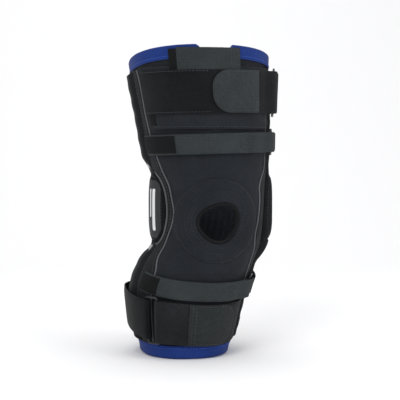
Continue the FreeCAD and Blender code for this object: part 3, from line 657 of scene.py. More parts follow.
topBinding = foldedBinding("thighTopBinding", topEdge, 1)
wear(topBinding, "binding", "thigh", ["thigh_top_binding"])
bottomBinding = foldedBinding("calfBottomBinding", lambda p: np.full(np.shape(p), sleeve["bottom"]), -1)
wear(bottomBinding, "binding", "calf", ["calf_bottom_binding"])
stitchUp = sleeve["bindingHeight"] - sleeve["stitchIn"]
stitchOnLimb("thighBindingStitches", turnAll, topEdge(turnAll) - stitchUp, 4.6)
stitchOnLimb("calfBindingStitches", turnAll, sleeve["bottom"] + stitchUp, 4.6)
print("sleeve")

# knee panel with its opening, buttress ring and bound edge
kneecap = {
    "centre": (-1.6, -9.7), "radius": 19.0, "egg": (1.0, 1.2), "bindingWidth": 2.3,
    "buttressCentre": (-3.0, -7.5), "buttress": 44.0, "height": 2.0,
    "side": 113, "clothThickness": 3.0, "cutBack": 1.4,  # cutBack: how far the cloth stops short of the opening
    "seams": (0.24, 0.52, 0.95),
}


def openingRadius(a):
    # an egg: a circle with a little of its second and third harmonics
    two, three = kneecap["egg"]
    return (kneecap["radius"] + two * np.cos(2 * a - math.radians(70))
            + three * np.cos(3 * a - math.radians(135)))


def fromKneecap(x, z):
    # distance and angle from the opening's centre
    dx, dz = x - kneecap["centre"][0], z - kneecap["centre"][1]
    return np.hypot(dx, dz), np.arctan2(dz, dx)


def kneeFront():
    # one layer of cloth between the two sleeves, cut out round the opening, then given thickness
    nu, nv = 150, 110
    phi = np.linspace(-kneecap["side"], kneecap["side"], nu)[:, None]
    t = np.linspace(0, 1, nv)[None, :]
    low, high = rigidCalfEdge(phi) - 1, rigidThighEdge(phi) + 1
    z = low + (high - low) * t
    phi = phi + 0 * t
    points = onLimb(phi, z, layers["sleeve"] + creases(phi, z) * 0.5)
    faces, corners = gridFaces(nu, nv, False, False)
    flat = points.reshape(-1, 3)
    centre = flat[faces].mean(1)
    rho, a = fromKneecap(centre[:, 0], centre[:, 2])
    keep = (rho > openingRadius(a) + kneecap["cutBack"]) | (centre[:, 1] > 0)
    u = np.radians(phi[:, 0]) * 62
    uv = np.stack([np.stack([u[i], z[i, j]], 1) for i, j in corners], 1)
    obj = addMesh("kneeFront", flat, faces[keep], uv[keep])
    bm = bmesh.new()
    bm.from_mesh(obj.data)
    bmesh.ops.delete(bm, geom=[v for v in bm.verts if not v.link_faces], context="VERTS")
    bm.to_mesh(obj.data)
    bm.free()
    wall = obj.modifiers.new("wall", "SOLIDIFY")
    wall.thickness, wall.offset, wall.use_even_offset = kneecap["clothThickness"] / 1000, -1, False
    bake(obj)
    return obj


def ringRound(name, radiusAt, profile, cols=120):
    # a section (distance out from the edge line, distance from the skin) carried round the opening
    a = np.linspace(0, 2 * np.pi, cols, endpoint=False)
    out, d = profile
    rho = radiusAt(a)[:, None] + out[None, :]
    x = kneecap["centre"][0] + rho * np.cos(a)[:, None]
    z = kneecap["centre"][1] + rho * np.sin(a)[:, None]
    dd = d[None, :] + 0 * rho
    points = onLimb(phiAtX(x, z, dd), z, dd)
    v = np.concatenate([[0], np.cumsum(np.hypot(np.diff(out), np.diff(d)))])
    return addLoops(name, points, a * kneecap["radius"], v, True)


def buttressAt(a, s):
    # from the egg-shaped opening (s = 0) to the outer circle (s = 1), in x and z
    inner = openingRadius(a) + 2.2
    x0, z0 = kneecap["centre"]
    x1, z1 = kneecap["buttressCentre"]
    x = (x0 + inner * np.cos(a)) * (1 - s) + (x1 + kneecap["buttress"] * np.cos(a)) * s
    z = (z0 + inner * np.sin(a)) * (1 - s) + (z1 + kneecap["buttress"] * np.sin(a)) * s
    return x, z


def makeButtress():
    # low pad: rises from the inner seam, nearly flat, falls to the outer seam, and dips at each line of stitching
    a = np.linspace(0, 2 * np.pi, 144, endpoint=False)[:, None]
    s = np.linspace(0, 1, 44)
    groove = sum(0.6 * np.exp(-((s - at) / 0.02) ** 2) for at in kneecap["seams"])
    top = 3.1 + kneecap["height"] * (1 - np.abs(2 * s - 1) ** 6) ** 0.7 - groove
    s = np.concatenate([s, s[::-1]])[None, :]
    d = np.concatenate([top, np.full(44, 2.4)])[None, :] + 0 * a
    x, z = buttressAt(a, s)
    points = onLimb(phiAtX(x, z, d), z, d + creases(0 * z, z) * 0.3)
    return addLoops("buttress", points, a[:, 0] * 32, np.concatenate([s[0, :44], -s[0, 44:]]) * 25, True)


front = kneeFront()
parts = wear(bendWithKnee(front), "kneeKnit", None, ["knee_front_panel"])
phi = np.linspace(-kneecap["side"], kneecap["side"], 60)
for part, (z0, z1) in zip(parts, ((0 * phi, rigidThighEdge(phi)), (rigidCalfEdge(phi), 0 * phi))):
    lineInside(part, "lining")
    cutSize(phi, z0, z1)
buttress = makeButtress()
turnOutwards(buttress)
for part in wear(bendWithKnee(buttress), "kneeKnit", None, ["patella_buttress"]):
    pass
a = np.radians(np.linspace(90, 270, 9))  # the binding's rounded edge, then its two flat faces
edgeOut = np.concatenate([0.9 + np.cos(a) * 1.5 - 0.2, [kneecap["bindingWidth"]] * 2])
edgeD = np.concatenate([1.9 + np.sin(a) * 2.6, [-0.3, 4.4]])
edgeBinding = ringRound("kneecapBinding", openingRadius, (edgeOut, edgeD))
turnOutwards(edgeBinding)
wear(bendWithKnee(edgeBinding), "blackWebbing", None, ["patella_edge_binding"])
for s in kneecap["seams"]:
    x, z = buttressAt(np.linspace(0, 2 * np.pi, 300), s)
    stitchOnLimb("kneeStitches", phiAtX(x, z, 4.6), z, 4.55 if s < 0.9 else 4.2)
print("knee panel")

# the stretch panel behind the knee: narrow gores, so that it folds evenly as the knee bends
behind = {"from": 110.0, "to": 250.0, "gores": 10, "lap": 1.2, "rib": 0.45, "reach": 50.0, "perDepth": 1.65}
edges = np.linspace(behind["from"], behind["to"], behind["gores"] + 1)
for k in range(behind["gores"]):
    a, b = edges[k] - behind["lap"], edges[k + 1] + behind["lap"]
    phi = np.linspace(a, b, 19)
    y = float(onLimb(phi, 0.0, 3.0)[:, 1].max())
    reach = max(behind["reach"], behind["perDepth"] * y)  # height over which a gore bends
    low = rigidCalfEdge(phi) - 0.5
    high = rigidThighEdge(phi) + 0.5
    gore = tape(f"backGore{k + 1}", phi, 1.5 - 0.02 * (k % 2), low, high, 2.9, 60, puff=0.4,
                lift=lambda p, z: -behind["rib"] * np.cos(4 * np.pi * (p - edges[k]) / (edges[k + 1] - edges[k])))
    top = float(high.max())
    parts = wear(bendWithKnee(gore), "backKnit", None,
                 ["popliteal_panel"])
    for part, (z0, z1) in zip(parts, ((0 * phi, high), (low, 0 * phi))):
        lineInside(part, "lining")
        cutSize(phi, z0, z1)
phi = np.linspace(112, 248, 160)
for inset in (1.6, 4.4):
    stitchOnLimb("thighBackStitches", phi, rigidThighEdge(phi) + inset, 3.1)
    stitchOnLimb("calfBackStitches", phi, rigidCalfEdge(phi) - inset, 3.1)
print("back")

# side panels, piping and hinge pockets
piping = {
    "lateral": {"height": [-139, -110, -75, -60, -43, -30, -11, 0, 14, 28, 40, 57, 86, 104, 123, 143, 149],
                "phi": [44, 44, 46, 48.5, 57.0, 56.0, 50.5, 49.0, 51.5, 53.5, 57.5, 60.0, 66, 68, 67, 68.5, 70]},
    "medial": {"height": [-139, -110, -75, -60, -43, -23, -11, 0, 14, 28, 36, 44, 60, 100, 149],
               "phi": [60, 60, 58, 56, 50, 42, 43.5, 45.0, 46.0, 45.5, 50, 58, 62, 64, 64]},
    "radius": 0.8,
}
sideOf = {"lateral": -1, "medial": 1}
sidePanel = {"bottom": -138.4, "top": 148.0, "back": 116, "cutTop": 149.0, "cutFront": 58, "stitchIn": 2.4}
for side, sign in sideOf.items():
    line = piping[side]

    def frontEdge(z):
        return curveThrough(line["height"], line["phi"], z)

    def panelPlace(s, t):
        z = sidePanel["bottom"] + (sidePanel["top"] - sidePanel["bottom"]) * s
        f = frontEdge(z)
        return sign * (f + (sidePanel["back"] - f) * t), z

    panel = plate(side + "Side", 290, 60, panelPlace, layers["panelIn"], layers["panelOut"], 0.02, 16, 90)
    parts = wear(bendWithKnee(panel), "sideCloth", None, [side + "_upper_panel", side + "_lower_panel"])
    phi = np.linspace(sidePanel["cutFront"], sidePanel["back"], 30) * sign
    for part, (z0, z1) in zip(parts, ((0.0, sidePanel["cutTop"]), (sidePanel["bottom"], 0.0))):
        cutSize(phi, z0, z1)
    z = np.linspace(-138, 148, 160)
    rope = cordAlong(side + "Piping", sign * (frontEdge(z) - 1.0), z, 3.6, piping["radius"])
    wear(bendWithKnee(rope), "piping", None, [side + "_upper_piping", side + "_lower_piping"])
    stitchOnLimb("sideStitches", sign * (frontEdge(z) + sidePanel["stitchIn"]), z, 4.8)
    stitchOnLimb("sideStitches", sign * (114 + 0 * z), z, 4.8)

pocket = {
    "halfWidth": 13.6, "upper": (31.0, 146.0), "lower": (-138.0, -29.0), "cloth": 1.8,
    "uprightOut": {"lateral": 60.7, "medial": 61.7},  # outer face of the flat part of the upright
    "uprightClear": 7.75,  # its distance from the skin past the bend
    "straight": 32.0,
    "bend": {"lateralupper": 26.0, "laterallower": 14.0, "medialupper": 26.0, "mediallower": 26.0},
    "endRound": 4, "flare": 1.5, "flareOver": 16, "ripple": 0.25,
}


def pocketReach(side, level, z):
    # how far the pocket stands out: over the flat upright by the hinge, then along the limb
    limbX = np.abs(limbEdge(z, side))
    w = smooth((np.abs(z) - pocket["straight"]) / pocket["bend"][side + level])
    out = (1 - w) * pocket["uprightOut"][side] + w * (limbX + pocket["uprightClear"])
    return out - limbX + pocket["cloth"]


for side, sign in sideOf.items():
    for level, body in (("upper", "thigh"), ("lower", "calf")):
        z0, z1 = pocket[level]
        s = np.linspace(0, 1, 50)
        w = np.concatenate([np.linspace(-1, 1, 21), np.linspace(1, -1, 21)])  # out across the top, back below
        top = np.concatenate([np.ones(21), np.zeros(21)])
        z = (z0 + (z1 - z0) * s)[:, None] + 0 * w[None, :]
        ends = np.minimum(s, 1 - s) * (z1 - z0)
        closing = np.sqrt(np.clip(1 - (1 - np.clip(ends / pocket["endRound"], 0, 1)) ** 2, 0.02, 1))[:, None]
        near = smooth(1 - (z[:, :1] - z0 if level == "upper" else z1 - z[:, :1]) / pocket["flareOver"])
        half = pocket["halfWidth"] + pocket["flare"] * near
        reach = pocketReach(side, level, z) - layers["panelOut"] - 0.1
        y = half * w[None, :] * (0.9 + 0.1 * closing)
        swell = (1 - np.abs(w) ** 6)[None, :]
        d = layers["panelOut"] - 0.6 + top[None, :] * (0.7 + reach * swell * closing
                                                      + pocket["ripple"] * np.sin(z * 0.35) * swell)
        points = onLimb(phiAtY(y, z, d, sign), z, d)
        v = np.concatenate([np.linspace(0, 28, 21), np.linspace(56, 28, 21)])
        sock = addLoops(f"{side}{level.title()}Pocket", points, s * (z1 - z0), v)
        wear(sock, "sideCloth", body, [f"{side}_{level}_pocket"])
        for edge in (-1, 1):
            zs = np.linspace(z0 + 3, z1 - 3, 60)
            stitchOnLimb(body + "PocketStitches", phiAtY(edge * 14.6 + 0 * zs, zs, 4.8, sign), zs, 4.85)
print("sides")

# hinge covers: a padded cover over each hinge, sewn round its edge
hingeCover = {"centre": (-5.0, 3.5), "size": (28.0, 39.0), "out": {"lateral": 66.0, "medial": 67.0},
              "square": 2.8, "seam": 0.87, "sewnFrom": 0.93, "deep": 5, "seamPull": 0.7}


def coverPoint(rho, a, side, under):
    # a pillow on the side of the knee: its outline is a squarish oval, its height falls at the rim
    sign = sideOf[side]
    cy, cz = hingeCover["centre"]
    p = hingeCover["square"]
    s, c = np.sin(a), np.cos(a)
    r = (np.abs(s) ** p + np.abs(c) ** p) ** (-1 / p)
    y = cy + hingeCover["size"][0] * rho * r * c
    z = cz + hingeCover["size"][1] * rho * r * s
    base = onLimb(phiAtY(y, z, 4.4, sign), z, 4.4)[..., 0] * sign
    base = np.minimum(base, hingeCover["out"][side] - 6)
    high = hingeCover["out"][side] - 0.0035 * (y - 2) ** 2 - 0.011 * np.clip(-y - 10, 0, 99) ** 2
    crown = np.clip(1 - np.abs(rho) ** 5, 0, 1) ** 0.5
    x = base + (high - base) * crown * (0 if under else 1)
    return np.stack([sign * x, y, z], -1)


def makeCover(side):
    # rings of points from the middle out over the top and back underneath, closer together near the rim
    spokes = 72
    a = np.linspace(0, 2 * np.pi, spokes, endpoint=False)
    rim = 1 - (1 - np.linspace(0.8, 1, 12)[1:]) ** 1.5 / 0.2**0.5
    rho = np.concatenate([[0.02], np.linspace(0.08, 0.8, 14), rim])
    top = coverPoint(rho[:, None], a[None, :], side, False)
    low = coverPoint(rho[::-1][1:, None], a[None, :], side, True)
    points = np.concatenate([top, low])
    n = len(points)
    faces, _ = gridFaces(n, spokes, False, True)
    flat = points.reshape(-1, 3)
    fan = [list(range(spokes)), list(range((n - 1) * spokes, n * spokes))[::-1]]
    faces = faces.tolist() + fan
    obj = addMesh(side + "Cover", flat, faces, None)
    turnOutwards(obj)
    return obj


puff = {"voxel": 2.2, "pressure": 4.0, "frames": 16, "cap": 2.2}  # voxel and cap in millimetres


def meshPoints(obj):
    # a mesh's points, in millimetres
    points = np.empty(len(obj.data.vertices) * 3)
    obj.data.vertices.foreach_get("co", points)
    return points.reshape(-1, 3) * 1000


def puffUp(obj, sewn):
    # the pad is blown up as a closed cloth bag, sewn down where sewn(points) is true,
    # and no point moves past the cap
    grid = obj.modifiers.new("voxels", "REMESH")
    grid.mode, grid.voxel_size = "VOXEL", puff["voxel"] / 1000
    bake(obj)
    before = meshPoints(obj)
    held = obj.vertex_groups.new(name="sewn")
    held.add(np.flatnonzero(sewn(before)).tolist(), 1.0, "REPLACE")
    bag = obj.modifiers.new("bag", "CLOTH")
    bag.settings.use_pressure = True
    bag.settings.uniform_pressure_force = puff["pressure"]
    bag.settings.vertex_group_mass = "sewn"
    bag.settings.effector_weights.gravity = 0
    bag.point_cache.frame_start, bag.point_cache.frame_end = 1, puff["frames"]
    for step in range(1, puff["frames"] + 1):
        bpy.context.scene.frame_set(step)
    bake(obj)
    bpy.context.scene.frame_set(1)
    move = meshPoints(obj) - before
    far = np.linalg.norm(move, axis=1, keepdims=True)
    move *= np.minimum(1, puff["cap"] / np.maximum(far, 1e-6))
    obj.data.vertices.foreach_set("co", ((before + move) / 1000).ravel())
    obj.vertex_groups.clear()
    finer = obj.modifiers.new("finer", "SUBSURF")
    finer.levels = finer.render_levels = 1
    bake(obj)


def landOn(target, points, sign):
    # points dropped along x on to another piece
    scout = addMesh("scout", points.reshape(-1, 3), [], None, 0)
    drop = scout.modifiers.new("drop", "SHRINKWRAP")
    drop.target, drop.wrap_method = target, "PROJECT"
    drop.use_project_x, drop.use_negative_direction, drop.use_positive_direction = True, True, True
    bake(scout)
    landed = meshPoints(scout).reshape(points.shape)
    bpy.data.objects.remove(scout)
    return landed


def coverRho(y, z):
    # 0 at the cover's middle, 1 at its rim
    (cy, cz), (sizeY, sizeZ), p = hingeCover["centre"], hingeCover["size"], hingeCover["square"]
    return ((np.abs(y - cy) / sizeY) ** p + (np.abs(z - cz) / sizeZ) ** p) ** (1 / p)


condylePad = {"centre": (-2.0, 2.0), "size": (19.5, 26.5)}  # an oval inside each hinge: y, z and half sizes
covers = {}
for side, sign in sideOf.items():
    cover = makeCover(side)
    deep = hingeCover["out"][side] - hingeCover["deep"]
    puffUp(cover, lambda q: (coverRho(q[:, 1], q[:, 2]) > hingeCover["sewnFrom"]) | (sign * q[:, 0] < deep))
    q = meshPoints(cover)
    fromSeam = (coverRho(q[:, 1], q[:, 2]) - hingeCover["seam"]) / 0.03
    q[:, 0] -= sign * hingeCover["seamPull"] * np.exp(-fromSeam**2) * (sign * q[:, 0] > deep)
    cover.data.vertices.foreach_set("co", (q / 1000).ravel())
    turnOutwards(cover)
    wear(cover, "cover", "knee", [side + "_hinge_cover"])
    covers[side] = cover
    a = np.linspace(0, 2 * np.pi, 240)
    ring = coverPoint(np.full(240, hingeCover["seam"]), a, side, False)
    ring[:, 0] = sign * 90
    outward = np.tile([sign * 1.0, 0, 0], (240, 1))
    stitchLine("coverStitches", landOn(cover, ring, sign) + outward * 0.1, outward)
    rimLine = coverPoint(np.full(121, 1.0), np.linspace(0, 2 * np.pi, 121), side, True)[:-1]
    welt = tubeAlong(side + "Welt", rimLine + outward[0] * 0.9, 0.9)
    wear(welt, "piping" if side == "lateral" else "cover", "knee")

    def padPlace(s, t):
        # an oval, so that the pocket ends swing past it: half width falls as a circle's towards both ends
        (cy, cz), (sizeY, sizeZ) = condylePad["centre"], condylePad["size"]
        z = cz + sizeZ * (2 * s - 1)
        half = sizeY * np.sqrt(np.clip(1 - (2 * s - 1) ** 2, 0.01, 1))
        return phiAtY(cy + half * (2 * t - 1), z, 3.2, sign), z

    pad = plate(side + "Pad", 60, 40, padPlace, 3.1, 4.6, 0.05, 10, 20)
    wear(pad, "foam", "knee", [side + "_condyle_pad"])
print("hinges")

# badge: a soft patch bent round the front of the outer cover, with two plain upright bars on it
badge = {"y": (-28.5, -5.0), "z": (-28.0, 33.0), "thick": 1.1,
         "bars": [(-23.0, -18.6, -20.0, 24.0), (-15.6, -13.0, -6.0, 24.0)]}


def patchOnCover(name, y0, y1, z0, z1, inner, outer, corner):
    # a rounded rectangle laid on the cover: its half width falls as a circle's at the ends
    s = np.linspace(-1, 1, 61)
    t, k = tapeOutline(16, 0.06)
    zc, zh, yc, yh = (z0 + z1) / 2, (z1 - z0) / 2, (y0 + y1) / 2, (y1 - y0) / 2
    over = np.clip(np.abs(s) * zh - (zh - corner), 0, corner)
    wide = yh - corner + np.sqrt(np.clip(corner**2 - over**2, 0.02, None))
    y = yc + wide[:, None] * (2 * t - 1)[None, :]
    z = zc + zh * s[:, None] + 0 * y
    cy, cz = hingeCover["centre"]
    keep = np.minimum(1, 0.91 / np.maximum(coverRho(y, z), 0.01))  # stays inside the cover's seam
    y, z = cy + (y - cy) * keep, cz + (z - cz) * keep
    points = landOn(covers["lateral"], np.stack([0 * y - 90, y, z], -1), -1)
    points[..., 0] -= (inner + outer) / 2 + (outer - inner) / 2 * k[None, :]
    return addLoops(name, points, zh * s, np.where(k > 0, 1, -1) * t * 2 * yh)


patch = patchOnCover("badge", *badge["y"], *badge["z"], -0.6, badge["thick"], 6.0)
wear(patch, "badge", "knee", ["lateral_badge"])
for k, (y0, y1, z0, z1) in enumerate(badge["bars"]):
    bar = patchOnCover(f"badgeBar{k + 1}", y0, y1, z0, z1, badge["thick"] - 0.3, badge["thick"] + 0.3, 1.2)
    wear(bar, "bars", "knee")
print("badge")

# straps
straps = {
    # width, height in front, rise to the sides, skew, ring, far end, tab end, seam, lift off the skin
    "thigh_wide": (44.0, 124.2, 0.0, 1.0, 66.0, -60.0, 0.0, 36.0, 6.1),
    "thigh_narrow": (21.0, 71.5, 0.0, 2.0, 66.0, -74.0, -32.0, 18.0, 5.0),
    "calf_narrow": (20.0, -81.0, 9.0, -5.0, 63.0, -60.0, -36.0, 20.0, 5.0),
    "calf_wide": (44.0, -116.3, 9.0, -4.5, -38.0, 70.0, 42.0, -4.0, 5.0),
}
strapMake = {"thickness": 1.2, "tabThickness": 1.4, "foldRadius": 3.9, "ringWidth": 17.0, "ringBar": 2.4,
             "gap": 0.3, "turnBack": 17, "tabRound": 18.0}
strapCloth = {"thigh_wide": ("velour", "tabCloth"), "calf_wide": ("calfVelour", "darkVelour")}  # strap, then tab


def strapHeight(name, phi):
    # height of a strap's middle line round the limb
    _, z, rise, skew = straps[name][:4]
    t = np.radians(phi)
    return z + rise * (1 - np.cos(t)) + skew * np.sin(t)


def easedLine(a, b, every=3.0):
    # from a to b, each an angle and a distance out, starting and ending level
    n = max(2, int(abs(b[0] - a[0]) / every))
    t = np.linspace(0, 1, n + 1)
    return np.stack([a[0] + (b[0] - a[0]) * t, a[1] + (b[1] - a[1]) * smooth(t)], 1)


def foldRound(phi, d, way, deg):
    # the half turn round a ring's bar
    a = np.radians(np.linspace(-85, 85, 15))
    r = strapMake["foldRadius"]
    return np.stack([phi + way * np.cos(a) * r * deg, d + r * np.sin(a)], 1)


def strapPath(name):
    # which way it runs, degrees to the millimetre, its ring bar, and how far out each of its layers stands
    ringPhi, lift = straps[name][4], straps[name][8]
    way = 1 if ringPhi > 0 else -1
    z = float(strapHeight(name, ringPhi))
    mid = onLimb(ringPhi, z, 0.0)
    cx, cy = sectionAt(z, 0)[:2]
    deg = math.degrees(1 / (math.hypot(mid[0] - cx, mid[1] - cy) + lift + strapMake["foldRadius"]))
    bar = (strapMake["ringWidth"] - strapMake["ringBar"]) / 2 * deg * way
    low = lift + strapMake["thickness"] / 2
    return way, deg, bar, low, low + strapMake["foldRadius"], low + strapMake["thickness"] + strapMake["gap"]


def runStrap(label, name, path, material, narrower=0.0, thick=None, cad=(), roundEnd=0.0, body=None,
             puff=0.0):
    width = straps[name][0] - narrower
    phi, d = path[:, 0], path[:, 1]
    z = strapHeight(name, phi)
    half = np.full(len(phi), width / 2)
    if roundEnd:
        # the far end is a half round: its half width falls as a circle's does
        r = onLimb(phi, z, d)
        run = np.linalg.norm(r - r[-1], axis=1)
        half = np.where(run < roundEnd, width / 2 - roundEnd
                        + np.sqrt(np.clip(roundEnd**2 - (roundEnd - run) ** 2, 0.01, None)), half)
    obj = tape(label, phi, d, z - half, z + half, thick or strapMake["thickness"], 8, puff=puff)
    return wear(obj, material, body or name.split("_")[0], cad)


for name, (_, _, _, _, ringPhi, farPhi, tabPhi, seamPhi, _) in straps.items():
    way, deg, bar, low, barD, second = strapPath(name)
    near = ringPhi - bar
    wide = "wide" in name
    label = name.replace("_", " ").title().replace(" ", "")
    label = label[0].lower() + label[1:]
    under = easedLine((farPhi, low), (near, low))
    turn = foldRound(near, barD, way, deg)
    back = near - way * strapMake["turnBack"]
    over = easedLine((near, barD + strapMake["foldRadius"]), (back, second), 1.5)
    path = np.concatenate([under[:-1], turn, over[1:]])
    if (back - seamPhi) * way > 1:
        path = np.concatenate([path, easedLine((back, second), (seamPhi, second))[1:]])
    seam = path[-1, 0]
    path = path[np.concatenate([[True], np.linalg.norm(np.diff(path, axis=0), axis=1) > 0.05])]
    strapFinish, tabFinish = strapCloth.get(name, ("webbing", "webbing"))
    runStrap(label + "Strap", name, path, strapFinish, cad=[name + "_strap"])
    tabD = low + strapMake["thickness"] / 2 + strapMake["gap"] + strapMake["tabThickness"] / 2
    t = np.linspace(0, 1, 60)
    t = 1 - (1 - t) ** 1.6
    tabPath = np.stack([seam + way * 1.0 + (tabPhi - seam - way * 1.0) * t, tabD + 0.5 * (1 - smooth(t * 6))], 1)
    tabPath = tabPath[np.concatenate([[True], np.diff(tabPath[:, 0]) != 0])]
    runStrap(label + "Tab", name, tabPath, tabFinish, narrower=0.6, thick=strapMake["tabThickness"],
             cad=[name + "_tab"], roundEnd=strapMake["tabRound"] if wide else 0.0,
             puff=0.3 if wide else 0.0)
    if not wide:
        loop = easedLine((farPhi - way * 0.6, low + 0.75), (tabPhi + way * 4, low + 0.75))
        runStrap(label + "Loop", name, loop, "hook", narrower=3.4, thick=0.9, puff=0.2)

    # keeper: a loop of webbing round the ring's other bar, sewn down on the side panel
    farBar = ringPhi + bar
    z = float(strapHeight(name, ringPhi))
    sidePhi = 90 - sectionAt(z, 0)[1] * deg
    clear = strapMake["turnBack"] * deg
    edgePhi = (sidePhi - 12 * deg) * way
    drop = abs(onLimb(90.0 * way, z, 3.0)[0] - onLimb(edgePhi, z, 3.0)[0])
    high = max(barD + strapMake["foldRadius"], 3 + 1.5 + 0.25 + 0.5 + 3.7 + 1.2 + drop + 1.4)  # over the pocket
    end = -118.0 if name == "calf_wide" else 116.0
    turn = foldRound(farBar, barD, -way, deg)
    first = (max(sidePhi - clear, abs(farBar) + 3) * way, high)
    last = ((sidePhi + clear) * way, high)
    path = np.concatenate([
        [(farBar + way * 4 * deg, barD - strapMake["foldRadius"])], turn,
        easedLine((farBar, barD + strapMake["foldRadius"]), first, 2.0)[1:],
        easedLine(first, last, 3.0)[1:],
        easedLine(last, (end, 5.55), 2.0)[1:]])
    runStrap(label + "Keeper", name, path, "blackWebbing", narrower=2.0, cad=[name + "_keeper"])
print("straps")

# seams on the straps: a line each side of every join, and crossed boxes on the narrow ones
for name, (width, _, _, _, _, farPhi, tabPhi, seamPhi, _) in straps.items():
    way, _, _, low, _, second = strapPath(name)
    body = name.split("_")[0]
    tabTop = low + 0.6 + 0.3 + 1.4 + 0.1
    half = width / 2 - 2.2
    if "wide" in name:
        for at in (seamPhi - way * 2, seamPhi - way * 5):
            z = strapHeight(name, at) + np.linspace(-half, half, 20)
            stitchOnLimb(body + "StrapStitches", at, z, tabTop + 0.25)
        phi = np.linspace(seamPhi - way * 6, tabPhi + way * 13, 60)
        for edge in (-1, 1):
            stitchOnLimb(body + "StrapStitches", phi, strapHeight(name, phi) + edge * half, tabTop + 0.2)
        phi = np.linspace(farPhi + way * 2, tabPhi - way * 2, 60)
        for edge in (-1, 1):
            stitchOnLimb(body + "StrapStitches", phi, strapHeight(name, phi) + edge * (half + 0.7), low + 0.7)
    else:
        a, b = seamPhi, seamPhi + way * 15
        top = second + 0.75
        for p0, h0, p1, h1 in ((a, -half, b, -half), (a, half, b, half), (a, -half, a, half), (b, -half, b, half),
                               (a, -half, b, half), (a, half, b, -half)):
            phi = np.linspace(p0, p1, 20)
            stitchOnLimb(body + "StrapStitches", phi, strapHeight(name, phi) + np.linspace(h0, h1, 20), top)

# front flap of the thigh wrap, under the wide strap, with rounded lower corners and a hook patch at its outer end
flap = {"phi": (-56.0, 59.0), "z": (86.0, 150.0), "corner": 7.0, "patch": 6.5, "thick": 1.3}
a, b = flap["phi"]
phi = b + (a - b) * (0.5 - 0.5 * np.cos(np.linspace(0, np.pi, 90)))[::-1]
past = np.clip(flap["corner"] - np.minimum(phi - a, b - phi), 0, flap["corner"]) / flap["corner"]
cornerRise = flap["corner"] * (1 - np.sqrt(1 - past**2))
front = tape("thighFlap", phi, 4.0, flap["z"][0] + cornerRise, flap["z"][1], flap["thick"], 20, puff=0.3,
             lift=lambda p, z: 0.25 * np.sin(0.19 * p + 0.12 * z) * smooth((120 - z) / 20))
wear(front, "flapCloth", "thigh")
cutSize(phi, flap["z"][0], flap["z"][1])
inset = np.linspace(0.02, 0.98, 80)
stitchOnLimb("thighStrapStitches", a + (b - a) * inset, flap["z"][0] + 2.6 + 0.8 * cornerRise[
    np.searchsorted(phi, a + (b - a) * inset)], 5.0)
phi = np.linspace(a - 0.6, a + flap["patch"], 12)
hookPatch = tape("thighFlapHook", phi, 4.9, flap["z"][0] + 4.0, flap["z"][1] - 4, 1.1, 14)
wear(hookPatch, "hook", "thigh")

# closure at the top of the thigh: grey webbing with a black hook end
closure = {"phi": (-24.0, 22.0), "z": (133.0, 168.3), "hook": 6.0}
phi = np.linspace(closure["phi"][0], closure["phi"][1], 30)
tab = tape("closureTab", phi, 5.5, closure["z"][0], closure["z"][1], 1.3, 10, puff=0.4)
wear(tab, "webbing", "thigh", ["thigh_closure_tab"])
phi = np.linspace(closure["phi"][0] - closure["hook"], closure["phi"][0] + 0.5, 12)
hook = tape("closureHook", phi, 5.4, closure["z"][0] + 1, closure["z"][1] - 1.5, 1.2, 10)
wear(hook, "hook", "thigh")
foldPhi = closure["phi"][1] - 7  # the first of two seams across its fold
z = np.linspace(closure["z"][0] + 2, closure["z"][1] - 2, 30)
for at in (foldPhi, foldPhi + 5.5):
    stitchOnLimb("thighStrapStitches", at, z, 6.65)
print("closure")

# threads
threadOf = {"thighBindingStitches": "blueThread", "calfBindingStitches": "blueThread",
            "kneeStitches": "darkThread", "coverStitches": "darkThread",
            "thighBackStitches": "darkThread", "calfBackStitches": "darkThread"}
for name, obj in sewAll(finish["thread"]).items():
    obj.data.materials[0] = finish[threadOf.get(name, "thread")]
    start = "".join(c if c.islower() else " " for c in name).split()[0]
    body = {"thigh": "thigh", "calf": "calf", "cover": "knee"}.get(start)
    if body:
        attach(obj, body)
    else:
        bendWithKnee(obj)

# the CAD's own pieces get their finishes
cadFinish = {"_ring": "ring", "_arm": "aluminium", "_arm_cap": "cap", "_plate": "steel", "_rivets": "steel",
             "_washers": "nylon", "_stop": "cap"}
for node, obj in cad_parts.items():
    for ending, chosen in cadFinish.items():
        if node.endswith(ending) and obj.type == "MESH":
            obj.data.materials.clear()
            obj.data.materials.append(finish[chosen])
print("CAD finishes")

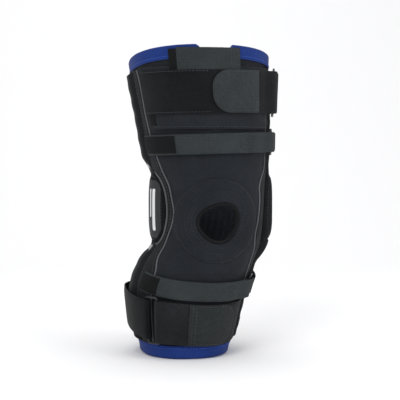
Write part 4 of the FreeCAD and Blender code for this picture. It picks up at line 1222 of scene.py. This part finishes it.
# stage, light and camera
low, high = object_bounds()
floorZ = low.z - 0.0005
stage = {"half": 3.0, "front": -2.5, "back": 1.6, "bend": 0.8, "height": 3.0, "colour": "#f4f4f5"}
s = np.linspace(0, 1, 40)
bend = stage["bend"]
turned = s[1:] * np.pi / 2
flatEnd = stage["back"] - bend
profileY = np.concatenate([[stage["front"], flatEnd], flatEnd + bend * np.sin(turned), [stage["back"]]])
profileZ = np.concatenate([[0, 0], bend - bend * np.cos(turned), [stage["height"]]]) + floorZ
x = np.array([-stage["half"], stage["half"]])
points = np.stack([np.stack([np.full_like(profileY, q), profileY, profileZ], 1) for q in x])
faces, _ = gridFaces(2, len(profileY), False, False)
backdrop = addMesh("backdrop", points.reshape(-1, 3) * 1000, faces, None, 0)
paper, tree, shader = startMaterial("matPaper", 0.9)
shader.inputs["Base Color"].default_value = linear(stage["colour"])
backdrop.data.materials.append(paper)

studio = {
    # place, power and size of each lamp
    "key": ((-0.9, -1.5, 1.3), 17.0, 1.2), "fill": ((1.4, -1.2, 0.7), 11.0, 1.4),
    "top": ((0.1, 0.2, 1.7), 12.0, 1.4), "world": 0.6,
}
aim = np.array([-0.01, 0, 0.0])
for name in ("key", "fill", "top"):
    place, power, size = studio[name]
    light = bpy.data.lights.new(name, "AREA")
    light.energy, light.size, light.shape = power, size, "DISK"
    lamp = bpy.data.objects.new(name, light)
    bpy.context.scene.collection.objects.link(lamp)
    lamp.location = place
    lamp.rotation_euler = (Vector(aim) - Vector(place)).to_track_quat("-Z", "Y").to_euler()
bpy.context.scene.view_settings.view_transform = "Standard"
world = bpy.data.worlds.new("studio")
world.use_nodes = True
world.node_tree.nodes["Background"].inputs["Color"].default_value = (1, 1, 1, 1)
world.node_tree.nodes["Background"].inputs["Strength"].default_value = studio["world"]
bpy.context.scene.world = world

view = {"azimuth": -9.0, "elevation": 2.8, "distance": 1.2, "target": (-0.0108, 0.0, 0.0108), "width": 0.432,
        "sensor": 36.0}
a, e = math.radians(view["azimuth"]), math.radians(view["elevation"])
back = Vector((math.sin(a) * math.cos(e), -math.cos(a) * math.cos(e), math.sin(e)))
cameraData = bpy.data.cameras.new("camera")
cameraData.sensor_width = view["sensor"]
cameraData.lens = view["sensor"] * view["distance"] / view["width"]
camera = bpy.data.objects.new("camera", cameraData)
bpy.context.scene.collection.objects.link(camera)
camera.location = Vector(view["target"]) + back * view["distance"]
camera.rotation_euler = back.to_track_quat("Z", "Y").to_euler()
bpy.context.scene.camera = camera
print("camera")
